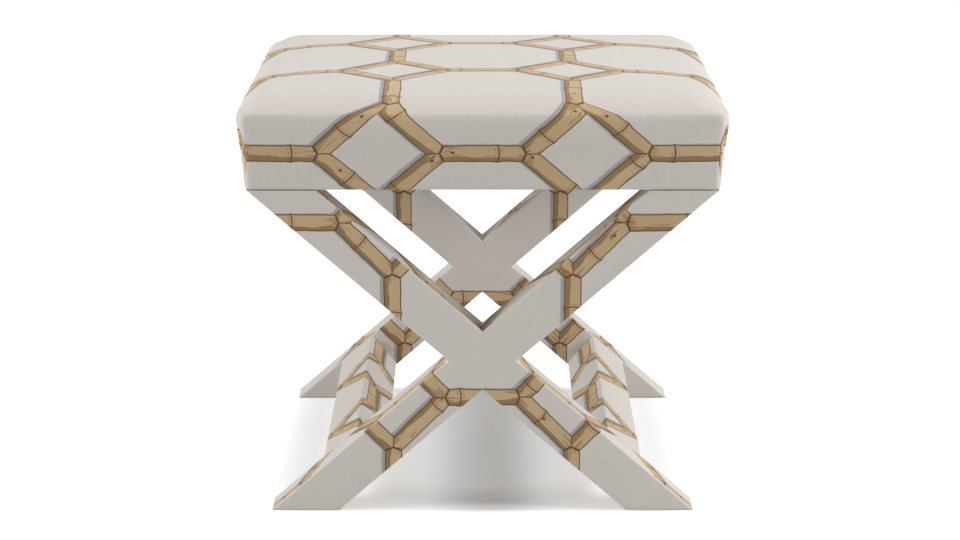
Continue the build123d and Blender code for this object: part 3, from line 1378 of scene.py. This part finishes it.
    def swollen(self, cloth: Cloth, held: np.ndarray) -> np.ndarray:
        """Let pressure fill the cover like a stuffed cushion.

        Args:
            cloth: The sewn cover.
            held: A mask of the points that don't move.

        Returns:
            The points after the swelling. The filling keeps them from sinking in, and a cap from going
            far out.
        """
        piece = cloth.as_object("seat_swell")
        group = piece.vertex_groups.new(name="held")
        group.add(np.nonzero(held)[0].tolist(), 1.0, "REPLACE")
        modifier = piece.modifiers.new("swell", "CLOTH")
        settings = modifier.settings
        settings.quality = 6
        settings.mass = 0.3
        settings.tension_stiffness = 30
        settings.compression_stiffness = 30
        settings.shear_stiffness = 15
        settings.bending_stiffness = 4
        settings.use_pressure = True
        settings.uniform_pressure_force = 4.0
        settings.vertex_group_mass = group.name
        settings.effector_weights.gravity = 0.0
        modifier.collision_settings.use_collision = False
        scene = bpy.context.scene
        for step in range(1, self.swell_frames + 1):
            scene.frame_set(step)
        seen = piece.evaluated_get(bpy.context.evaluated_depsgraph_get())
        points = np.zeros(len(seen.data.vertices) * 3)
        seen.data.vertices.foreach_get("co", points)
        normals = cloth.normals()
        rise = np.sum((points.reshape(-1, 3) - cloth.points) * normals, axis=1)
        bpy.data.objects.remove(piece)
        scene.frame_set(1)
        LOG.info("seat swells by up to %.1f mm before the cap", rise.max() * 1000)
        return cloth.points + normals * self.capped(cloth.points, rise)[:, None]

    def droop(self, points: np.ndarray) -> np.ndarray:
        """How far the top sinks at its corners, where the filling is thinnest.

        Args:
            points: Points of the cover.

        Returns:
            The fall of each point.
        """
        share = np.clip((points[:, 2] - self.seam_z) / (self.edge_z - self.seam_z), 0, 1)
        for axis in (0, 1):
            inner = self.half[axis] - self.sizes.edge_radius - self.droop_lead * self.droop_reach
            share = share * np.clip((np.abs(points[:, axis]) - inner) / self.droop_reach, 0, 1) ** 2
        return self.corner_droop * share

    def bulge(self, points: np.ndarray) -> np.ndarray:
        """How far the bands stand out between their corners, most a third of the way down.

        Args:
            points: Points of the cover.

        Returns:
            The move of each point.
        """
        down = np.clip((self.seam_z - points[:, 2]) / (self.seam_z - self.sizes.leg_height), 0, 1)
        # At a third, where it is greatest, down * (1 - down) ** 2 is 4 / 27
        out = self.band_bulge * (27 / 4) * down * (1 - down) ** 2
        moves = np.zeros_like(points)
        inside = [self.half[axis] - np.abs(points[:, axis]) for axis in (0, 1)]
        for axis in (0, 1):
            share = eased(inside[1 - axis], self.bulge_corner, self.bulge_fade)
            moves[:, axis] = np.sign(points[:, axis]) * out * share * (inside[axis] < self.bulge_corner)
        return moves

    def capped(self, points: np.ndarray, rise: np.ndarray) -> np.ndarray:
        """Keep the swelling to the flat of the top and, less, to the bands.

        Args:
            points: The points before the swelling.
            rise: How far each moved outwards.

        Returns:
            How far each goes outwards.
        """
        inside = np.minimum(*(self.half[axis] - np.abs(points[:, axis]) for axis in (0, 1)))
        on_top = self.swell_cap * eased(inside, self.swell_start, self.swell_reach)
        cap = np.where(points[:, 2] > self.seam_z + self.off_seam, on_top, self.band_cap) + 1e-7
        return cap * np.tanh(np.maximum(rise, 0) / cap)

    def build(self) -> None:
        """Build and dress the seat."""
        rows = self.rows()
        box = SoftBox(self.half, self.rim, self.roll_radius, self.edge_z, self.sewn_crown, rows)
        cover = self.net(box)
        cover.points += self.bulge(cover.points)
        cover.points[:, 2] -= self.droop(cover.points)
        height = cover.points[:, 2]
        at_seam = np.abs(height - self.seam_z) < self.on_seam
        cover.points = self.swollen(cover, at_seam | (height < self.pinned_below))
        normals = cover.normals()
        self.sink_seams(cover, at_seam, normals)
        kind, row_of = self.face_kinds(rows)
        seam_row = len(self.shoulder_shares) - 1
        above = row_of < seam_row
        over = sum(box.falls[:seam_row]) + self.roll_radius * self.shoulder - self.rim
        panel = self.stitched(cover.part(above), "seat_top_panel_cover")
        settle(panel, self.wardrobe.fabric, "printed_fabric", "seat_top_panel")
        2 * (self.half[0] + over)
        2 * (self.half[1] + over)
        for number, side in enumerate(Side):
            band = self.stitched(cover.part(~above & (kind == number + 1)), f"seat_band_{side.value}_cover")
            settle(band, self.wardrobe.fabric, "printed_fabric", f"seat_band_{side.value}")
        self.wadding(cover, normals, rows)
        self.foam()

    def face_kinds(self, rows: list[SeatRow]) -> ArrayPair:
        """Which patch of the net a face is in, and in which row of it.

        Args:
            rows: The sides' rows.

        Returns:
            The patch of each face, 0 for the top and then the sides in order, and its row, which is -1 on
            the top.
        """
        wide, deep = (count + 2 * self.corner_steps for count in self.straight_steps)
        down = np.arange(len(rows) - 1)
        row_of = [np.full(wide * deep, -1)]
        row_of += [np.repeat(down, wide if side.is_long else deep) for side in Side]
        kind = np.repeat(np.arange(len(row_of)), [len(patch) for patch in row_of])
        return kind, np.concatenate(row_of)

    def sink_seams(self, cover: Cloth, at_seam: np.ndarray, normals: np.ndarray) -> None:
        """Draw the cover in along its sewn lines.

        Args:
            cover: The cover, whose points are moved.
            at_seam: A mask of the points on the level seam.
            normals: Directions out of the cover.
        """
        level = normals * np.array([1.0, 1.0, 0.0])
        points = cover.points
        points[at_seam] -= level[at_seam] * self.crease
        inside_x, inside_y = (self.half[axis] - np.abs(points[:, axis]) for axis in (0, 1))
        on_corner = (np.abs(inside_x - inside_y) < self.on_corner) & (inside_x < self.corner_reach)
        on_corner &= points[:, 2] < self.seam_z - self.off_seam
        points[on_corner] -= level[on_corner] * self.corner_crease

    def stitched(self, cloth: Cloth, name: str) -> Object:
        """Smooth a cut of the cover and give it its thickness.

        Args:
            cloth: The cut.
            name: The piece's name.

        Returns:
            The piece.
        """
        piece = cloth.as_object(name)
        smooth = piece.modifiers.new("smooth", "SUBSURF")
        smooth.levels = smooth.render_levels = 1
        thick = piece.modifiers.new("thickness", "SOLIDIFY")
        thick.thickness = self.sizes.seat_cover - self.cover_gap
        thick.offset = -1.0
        apply_modifiers(piece)
        smooth_by_angle(piece, 50)
        return piece

    def wadding(self, cover: Cloth, normals: np.ndarray, rows: list[SeatRow]) -> Object:
        """The wadding: a soft shell under the cover, hollow for the foam, deck and rails.

        Args:
            cover: The swollen cover.
            normals: Directions out of the cover.
            rows: The cover's rows.

        Returns:
            The piece.
        """
        s = self.sizes
        radius = self.hollow_radius
        spring = s.foam_top_z + self.ease - radius
        kept = sum(row.z > s.leg_height + self.open_below for row in rows)
        low = rows[kept - 1].z
        top = self.spring_z
        on_edge = sum(row.z >= top for row in rows)
        hollow_rows = []
        for turn in np.linspace(self.shoulder, math.pi / 2, on_edge):
            hollow_rows.append(SeatRow.on_edge(spring + radius, radius, radius, turn))
        for row in rows[on_edge:]:
            down = (top - row.z) / (top - low)
            corner = max(radius * (1 - 3 * down), self.hollow_corner)
            hollow_rows.append(SeatRow(spring - down * (spring - low), 0.0, corner))
        hollow_half = (s.rail_outer_x + self.ease, s.rail_outer_y + self.ease)
        hollow = self.net(SoftBox(hollow_half, radius, radius, s.foam_top_z + self.ease, 0.0, hollow_rows))
        chosen = self.face_kinds(rows)[1] < kept - 1
        under = cover.points - normals * (s.seat_cover + self.wadding_gap)
        outer = Cloth(under, cover.faces, cover.print_at).part(chosen)
        piece = outer.backed(hollow.part(chosen).points).as_object("seat_wadding_pad")
        smooth_by_angle(piece, 50)
        settle(piece, self.wardrobe.wadding, "wadding", "seat_wadding")
        return piece

    def foam(self) -> Object:
        """The foam block on the deck, with soft edges but for the lower ones.

        Returns:
            The piece.
        """
        s = self.sizes
        height = s.foam_top_z - s.deck_top_z
        middle = s.deck_top_z + height / 2
        size = (2 * s.rail_outer_x - self.foam_gap, 2 * s.rail_outer_y - self.foam_gap, height)
        piece = bevelled_block("seat_foam_block", size, middle, self.foam_round, segments=5, above=middle)
        smooth_by_angle(piece, 40)
        settle(piece, self.wardrobe.foam, "foam", "seat_foam")
        return piece


# The X frames and stretchers


@dataclass
class XFrame:
    """The fabric of one X frame: two face panels and four folded edge strips."""

    wardrobe: Wardrobe
    place: FramePlace
    sizes: BenchSizes = SIZES
    edge_round: float = 0.0017
    strip_round: float = 0.0005
    puff: float = 0.0004
    puff_reach: float = 0.014
    print_rise: float = 0.055
    strip_print_rise: float = -0.06
    stops: Series = (0.0, 0.00012, 0.0004, 0.0008, 0.0013, 0.0018, 0.0045, 0.009, 0.015, 0.021)
    strip_stops: Series = (0.0, 0.0001, 0.00025, 0.0005, 0.003, 0.009, 0.0165)
    lengthwise: int = 36

    @property
    def legs(self) -> list[str]:
        """The two legs that carry the fabric."""
        return [f"{self.place.word}_leg_left", f"{self.place.word}_leg_right"]

    @property
    def level_sums(self) -> Pair:
        """Sums of the depths at the soles and under the seat."""
        return self.sizes.depths_at(self.sizes.sole_thickness), self.sizes.depths_at(self.sizes.leg_height)

    @property
    def shares(self) -> np.ndarray:
        """Steps along an arm of the X, from 0 to 1."""
        return np.linspace(0, 1, self.lengthwise + 1)

    def grid(self) -> Cloth:
        """The plan of a face panel as a grid, with X, Z and the distance from the edge as its points.

        Returns:
            The cloth, still flat.
        """
        s = self.sizes
        across = spread(self.stops, s.leg_width)
        low, high = self.level_sums
        patches = []
        for swap in (False, True):
            for start, total in ((s.leg_width, low), (0.0, high)):
                first, part = np.meshgrid(across, self.shares)
                second = start + (total - first - start) * part
                edge = np.minimum(first, s.leg_width - first)
                patches.append(self.plan(second if swap else first, first if swap else second, edge))
        first, second = np.meshgrid(across, across)
        notch = np.hypot(np.minimum(first, s.leg_width - first), np.minimum(second, s.leg_width - second))
        patches.append(self.plan(first, second, notch))
        return Cloth.weld(patches)

    def plan(self, first: np.ndarray, second: np.ndarray, edge: np.ndarray) -> Patch:
        """A patch of the plan.

        Args:
            first: Depths in the left-footed leg.
            second: Depths in the right-footed leg.
            edge: Distances from the edge.

        Returns:
            The patch, with X, Z and the distance as its points.
        """
        x, z = self.sizes.x_point(first, second)
        middle = self.sizes.x_point(self.sizes.leg_width / 2, self.sizes.leg_width / 2)[1]
        return Patch(stacked(x, z, edge), stacked(x, z - middle - self.print_rise))

    def panel(self, face: str) -> Object:
        """A face panel.

        Args:
            face: "outer" or "inner".

        Returns:
            The piece.
        """
        s = self.sizes
        sign = self.place.value
        cloth = self.grid()
        x, z, edge = cloth.points.T
        drop = edge_drop(edge, self.edge_round) - self.puff * np.clip(edge / self.puff_reach, 0, 1) ** 0.5
        if face == "outer":
            front, back = s.x_outer_y - drop, s.x_outer_y - s.frame_cover
        else:
            front, back = s.x_inner_y + drop, s.x_inner_y + s.frame_cover
        name = f"{self.place.word}_x_{face}"
        cloth.points = stacked(x, sign * front, z)
        piece = cloth.backed(stacked(x, sign * back, z)).as_object(f"{name}_cover")
        smooth_by_angle(piece, 40)
        settle(piece, self.wardrobe.fabric, "printed_fabric", f"{name}_panel")
        return piece

    def strip_line(self, place: StripPlace, depth: float) -> np.ndarray:
        """The line of an edge strip in the frame's plane, folded once.

        Args:
            place: Which strip.
            depth: How far it lies inside the edge.

        Returns:
            Its points, as X and Z.
        """
        s = self.sizes
        low, high = self.level_sums
        far = s.leg_width - depth
        ends = {
            StripPlace.UPPER: ((high - depth, depth), (depth, depth), (depth, high - depth)),
            StripPlace.LOWER: ((low - far, far), (far, far), (far, low - far)),
            StripPlace.LEFT: ((depth, low - depth), (depth, far), (high - far, far)),
            StripPlace.RIGHT: ((low - depth, depth), (far, depth), (far, high - far)),
        }[place]
        line = []
        for start, end in zip(ends, ends[1:]):
            first = start[0] + (end[0] - start[0]) * self.shares
            second = start[1] + (end[1] - start[1]) * self.shares
            line.append(stacked(*s.x_point(first, second)))
        return np.concatenate([line[0], line[1][1:]])

    def strip(self, place: StripPlace) -> Object:
        """An edge strip between the two panels.

        Args:
            place: Which strip.

        Returns:
            The piece.
        """
        s = self.sizes
        sign = self.place.value
        outer = self.strip_line(place, 0.0)
        inner = self.strip_line(place, s.frame_cover)
        depth = s.x_outer_y - s.x_inner_y - 2 * s.frame_cover
        across = spread(self.strip_stops, depth)
        drop = edge_drop(np.minimum(across, depth - across), self.strip_round)
        line = outer[:, None, :] + (inner - outer)[:, None, :] * (drop / s.frame_cover)[None, :, None]
        y = sign * (s.x_inner_y + s.frame_cover + across)
        run = np.concatenate([[0.0], np.cumsum(np.linalg.norm(np.diff(outer, axis=0), axis=1))])
        front = stacked(line[..., 0], y, line[..., 1])
        back = stacked(inner[:, :1], y, inner[:, 1:])
        cloth = Cloth.laid([Patch(front, stacked(run[:, None], y + self.strip_print_rise))])
        name = f"{self.place.word}_x_strip_{place.value}"
        piece = cloth.backed(back.reshape(-1, 3)).as_object(f"{name}_cover")
        smooth_by_angle(piece, 35)
        settle(piece, self.wardrobe.fabric, "printed_fabric", name)
        return piece

    def build(self) -> None:
        """Build and dress the frame's fabric."""
        for face in ("outer", "inner"):
            self.panel(face)
        for place in StripPlace:
            self.strip(place)


@dataclass
class Stretcher:
    """The fabric sleeve of a stretcher, sewn along the middle of its underside."""

    wardrobe: Wardrobe
    side: Side
    sizes: BenchSizes = SIZES
    corner: float = 0.0024
    corner_steps: int = 6
    section_step: float = 0.004
    lengthwise: int = 48
    seam: float = 0.0009
    seam_reach: float = 0.0035
    padding: float = 0.0022
    fullness: float = 0.0008
    cover_gap: float = 0.0003
    print_start: Pair = (0.04, 0.03)

    def section(self) -> ArrayPair:
        """The section of the left sleeve, from its seam round to the seam again.

        Returns:
            Its points as X and Z, and how far each lies along the section.
        """
        s = self.sizes
        corner = self.corner
        low, high = s.stretcher_rise, s.stretcher_rise + s.stretcher_width + self.padding
        near = s.stretcher_setback - self.fullness
        far = s.leg_width - near
        middle = (low + high) / 2
        line = [(middle, far)]
        turns = np.linspace(0, math.pi / 2, self.corner_steps + 1)
        for centre, start in (
            ((high - corner, far - corner), 0.0),
            ((high - corner, near + corner), -math.pi / 2),
            ((low + corner, near + corner), math.pi),
            ((low + corner, far - corner), math.pi / 2),
        ):
            for turn in turns[::-1] + start:
                line.append((centre[0] + corner * math.cos(turn), centre[1] + corner * math.sin(turn)))
        line.append((middle, far))
        dense = []
        for (a0, d0), (a1, d1) in zip(line, line[1:]):
            count = max(1, round(math.hypot(a1 - a0, d1 - d0) / self.section_step))
            dense += [(a0 + (a1 - a0) * k / count, d0 + (d1 - d0) * k / count) for k in range(count)]
        dense.append(line[-1])
        along, depth = np.array(dense).T
        run = np.concatenate([[0.0], np.cumsum(np.hypot(np.diff(along), np.diff(depth)))])
        x = -s.foot_span / 2 + along * math.cos(s.lean) + depth * math.sin(s.lean)
        z = along * math.sin(s.lean) - depth * math.cos(s.lean)
        return stacked(x, z), run

    def build(self) -> Object:
        """Build and dress the sleeve.

        Returns:
            The piece.
        """
        s = self.sizes
        sign = 1 if self.side is Side.LEFT else -1
        outer, run = self.section()
        centre = outer.mean(axis=0)
        inner = centre + (outer - centre) * (1 - 2 * (s.frame_cover - self.cover_gap) / s.stretcher_width)
        from_seam = np.minimum(run, run[-1] - run)
        sink = self.seam * np.clip(1 - from_seam / self.seam_reach, 0, 1) ** 2
        inward = (centre - outer) / np.linalg.norm(centre - outer, axis=1, keepdims=True)
        outer = outer + inward * sink[:, None]
        length = np.linspace(-s.x_inner_y, s.x_inner_y, self.lengthwise + 1)[:, None]
        print_at = stacked(run + self.print_start[0], length + self.print_start[1])
        skins = [stacked(sign * line[:, 0], length, line[:, 1]) for line in (outer, inner)]
        cloth, back = (Cloth.weld([Patch(skin, print_at)]) for skin in skins)
        piece = cloth.backed(back.points).as_object(f"stretcher_{self.side.value}_sleeve_cover")
        smooth_by_angle(piece, 40)
        settle(piece, self.wardrobe.fabric, "printed_fabric", f"stretcher_{self.side.value}_sleeve")
        return piece


@dataclass
class Underside:
    """What shows from below: the soles of the feet, the dust cover and its staples."""

    wardrobe: Wardrobe
    sizes: BenchSizes = SIZES
    sole_round: float = 0.0012
    sole_stops: Series = (0.0, 0.0002, 0.0006, 0.0012, 0.006)
    cloth_steps: tuple[int, int] = (48, 44)
    cloth_thickness: float = 0.0004
    cloth_gap: float = 0.0005
    sag: float = 0.0022
    ripple: float = 0.0006
    hem: float = 0.0005
    hem_width: float = 0.012
    staple_step: float = 0.038
    staple_inset: float = 0.006
    staple_drop: float = 0.0011
    staple_size: Triple = (0.010, 0.0008, 0.0005)
    staple_round: float = 0.00015

    @property
    def rail_z(self) -> float:
        """Height of the lower side of the rails."""
        return self.sizes.leg_height + self.sizes.seat_cover

    def soles(self) -> Object:
        """Fabric folded under the four feet.

        Returns:
            The piece.
        """
        s = self.sizes
        width = s.leg_width / math.sin(s.lean)
        depth = s.x_outer_y - s.x_inner_y
        a, b = np.meshgrid(spread(self.sole_stops, width), spread(self.sole_stops, depth))
        edge = np.minimum(np.minimum(a, width - a), np.minimum(b, depth - b))
        z = edge_drop(edge, self.sole_round)
        slope = 1 / math.tan(s.lean)
        patches, backs = [], []
        for frame_sign in (-1, 1):
            for foot_sign in (-1, 1):
                x = foot_sign * (s.foot_span / 2 - a - z * slope)
                y = frame_sign * (s.x_inner_y + b)
                patches.append(Patch(stacked(x, y, z), stacked(x, y)))
                top_x = foot_sign * (s.foot_span / 2 - a - s.sole_thickness * slope)
                backs.append(stacked(top_x, y, s.sole_thickness).reshape(-1, 3))
        piece = Cloth.laid(patches).backed(np.concatenate(backs)).as_object("foot_soles_cover")
        smooth_by_angle(piece, 40)
        settle(piece, self.wardrobe.fabric, "printed_fabric", "foot_soles")
        return piece

    def dust_cover(self) -> Object:
        """Black cloth under the rails, which sags a little between them.

        Returns:
            The piece.
        """
        s = self.sizes
        x, y = np.meshgrid(*(np.linspace(-1, 1, count + 1) for count in self.cloth_steps))
        hang = self.sag * (1 - np.abs(x) ** 3) * (1 - np.abs(y) ** 3)
        ripple = self.ripple * np.sin(9 * x + 2 * y) * np.sin(7 * y - x) * (1 - x * x) * (1 - y * y)
        edge = np.minimum(s.dust_cover_x * (1 - np.abs(x)), s.dust_cover_y * (1 - np.abs(y)))
        hem = self.hem * np.clip(1 - edge / self.hem_width, 0, 1) ** 0.5
        z = self.rail_z - self.cloth_gap - hang + ripple - hem
        points = stacked(x * s.dust_cover_x, y * s.dust_cover_y, z)
        cloth = Cloth.laid([Patch(points, points[..., :2])])
        back = cloth.points + np.array([0, 0, self.cloth_thickness])
        piece = cloth.backed(back).as_object("dust_cover_cloth")
        smooth_by_angle(piece, 40)
        settle(piece, self.wardrobe.dust_cloth, "dust_cloth", "dust_cover")
        return piece

    def staples(self) -> Object:
        """Flat crowns of the staples along the dust cover's edge.

        Returns:
            The piece.
        """
        s = self.sizes
        level = self.rail_z - self.staple_drop
        reach_x, reach_y = s.dust_cover_x - self.staple_inset, s.dust_cover_y - self.staple_inset
        spots = []
        for reach, other, turned in ((reach_x, reach_y, False), (reach_y, reach_x, True)):
            count = round(2 * reach / self.staple_step)
            for k in range(count):
                run = -reach + 2 * reach * (k + 0.5) / count
                for sign in (-1, 1):
                    spots.append(((sign * other, run) if turned else (run, sign * other), turned))
        first = bevelled_block("staple", self.staple_size, 0.0, self.staple_round, segments=1)
        copies = []
        for (x, y), turned in spots:
            copy = first.copy()
            copy.data = first.data.copy()
            copy.location = (x, y, level)
            copy.rotation_euler = (0, 0, math.pi / 2 if turned else 0)
            bpy.context.scene.collection.objects.link(copy)
            copies.append(copy)
        bpy.data.objects.remove(first)
        bpy.ops.object.select_all(action="DESELECT")
        for copy in copies:
            copy.select_set(True)
        bpy.context.view_layer.objects.active = copies[0]
        bpy.ops.object.join()
        bpy.ops.object.transform_apply(location=True, rotation=True, scale=True)
        piece = bpy.context.object
        piece.name = piece.data.name = "dust_cover_staples"
        return settle(piece, self.wardrobe.steel, "screw_steel")

    def build(self) -> None:
        """Build and dress the underside."""
        self.soles()
        self.dust_cover()
        self.staples()


def dress_solids(wardrobe: Wardrobe) -> None:
    """Give the wooden and steel solids, which keep their shape, their finishes.

    Args:
        wardrobe: The finishes.
    """
    finish_of = {"frame_wood": wardrobe.wood, "plywood": wardrobe.plywood, "screw_steel": wardrobe.steel}
    for row in frame["record"]["subparts"]:
        finish = finish_of.get(row["material_slot"])
        if finish is None:
            continue
        node = frame["nodes"][row["node"]]
        node.data.materials.clear()
        node.data.materials.append(finish)
        LOG.info("%s: %s", row["node"], finish.name)


@dataclass(frozen=True)
class Lamp:
    """A square soft light.

    Args:
        name: Its name.
        at: Where it hangs.
        aim: What it points at.
        size: Its side.
        power: Its power in watts.
    """

    name: str
    at: Triple
    aim: Triple
    size: float
    power: float

    def hang(self) -> None:
        """Put the light into the scene."""
        data = bpy.data.lights.new(self.name, "AREA")
        data.shape = "SQUARE"
        data.size = self.size
        data.energy = self.power
        lamp = bpy.data.objects.new(self.name, data)
        lamp.location = self.at
        lamp.rotation_euler = (Vector(self.aim) - Vector(self.at)).to_track_quat("-Z", "Y").to_euler()
        bpy.context.scene.collection.objects.link(lamp)


@dataclass
class Studio:
    """A pale floor, soft light and the camera. A pair holds the values between which the floor's painted
    shade fades in.
    """

    lens: float = 96.0
    camera_at: Triple = (-0.0028, -2.8416, 0.9057)
    pitch_down: float = 13.77
    sky: float = 0.38
    lamps: tuple[Lamp, ...] = (
        Lamp("key", (0.75, -0.05, 2.6), (0.0, 0.0, 0.4), 2.0, 13.5),
        Lamp("left", (-2.6, -0.5, 1.3), (0.0, 0.0, 0.25), 1.0, 42.0),
        Lamp("right", (2.6, -0.5, 1.3), (0.0, 0.0, 0.25), 1.0, 47.0),
    )
    floor_reach: float = 8.0
    floor_z: float = -0.0002
    floor_tone: float = 0.76
    floor_glow: float = 0.8
    # Painted shade on the floor: where and how far the glow is cut under the bench, most at a core near the
    # middle
    painted_shade_x: Pair = (0.27, 0.19)
    painted_shade_y: Pair = (0.248, 0.226)
    shade: float = 0.44
    core_at: float = 0.01
    core_x: Pair = (0.085, 0.0)
    painted_core_shade: float = 0.25

    def floor(self) -> None:
        """A white floor that glows to the camera, with the glow cut under the bench: a painted shade over
        the real shadow there.
        """
        bpy.ops.object.select_all(action="DESELECT")
        bpy.ops.mesh.primitive_plane_add(size=2 * self.floor_reach, location=(0, 0, self.floor_z))
        ground = bpy.context.object
        ground.name = "floor"
        made = bpy.data.materials.new("floor_white")
        made.use_nodes = True
        tree = made.node_tree
        shader = tree.nodes["Principled BSDF"]
        shader.inputs["Base Color"].default_value = (self.floor_tone,) * 3 + (1,)
        shader.inputs["Roughness"].default_value = 0.9
        shader.inputs["Specular IOR Level"].default_value = 0.0
        seen = seen_directly(tree)
        x, y, _ = parts_of(tree, Term(tree, tree.nodes.new("ShaderNodeTexCoord").outputs["Object"]))
        # Painted shade: the glow is cut under the bench, deepest near the middle, so the floor there is
        # darker than its real shadow alone makes it
        painted_floor_shade = abs(x).fade(*self.painted_shade_x) * self.shade
        painted_floor_shade = painted_floor_shade + abs(x - self.core_at).fade(*self.core_x) * self.painted_core_shade
        under = painted_floor_shade * abs(y).fade(*self.painted_shade_y)
        shader.inputs["Emission Color"].default_value = (1, 1, 1, 1)
        plug(tree, seen * (under * -1.0 + self.floor_glow), shader.inputs["Emission Strength"])
        ground.data.materials.append(made)

    def build(self) -> None:
        """Build the studio."""
        scene = bpy.context.scene
        scene.view_settings.view_transform = "Standard"
        self.floor()
        for lamp in self.lamps:
            lamp.hang()
        world = bpy.data.worlds.new("studio")
        world.use_nodes = True
        sky = world.node_tree.nodes["Background"]
        sky.inputs["Color"].default_value = (1, 1, 1, 1)
        seen = seen_directly(world.node_tree)
        plug(world.node_tree, seen * (1 - self.sky) + self.sky, sky.inputs["Strength"])
        scene.world = world
        data = bpy.data.cameras.new("camera")
        data.lens = self.lens
        data.sensor_width = 36.0
        data.clip_end = 60.0
        camera = bpy.data.objects.new("camera", data)
        camera.location = self.camera_at
        camera.rotation_euler = (math.radians(90 - self.pitch_down), 0, 0)
        scene.collection.objects.link(camera)
        scene.camera = camera


def main() -> None:
    """Build the studio and then the bench, piece by piece."""
    logging.basicConfig(level=logging.INFO, format="%(message)s")
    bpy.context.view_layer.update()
    wardrobe = Wardrobe()
    Studio().build()
    Seat(wardrobe).build()
    for place in FramePlace:
        XFrame(wardrobe, place).build()
    for side in (Side.LEFT, Side.RIGHT):
        Stretcher(wardrobe, side).build()
    Underside(wardrobe).build()
    dress_solids(wardrobe)
    bpy.ops.object.select_all(action="DESELECT")


if __name__ == "__main__":
    main()
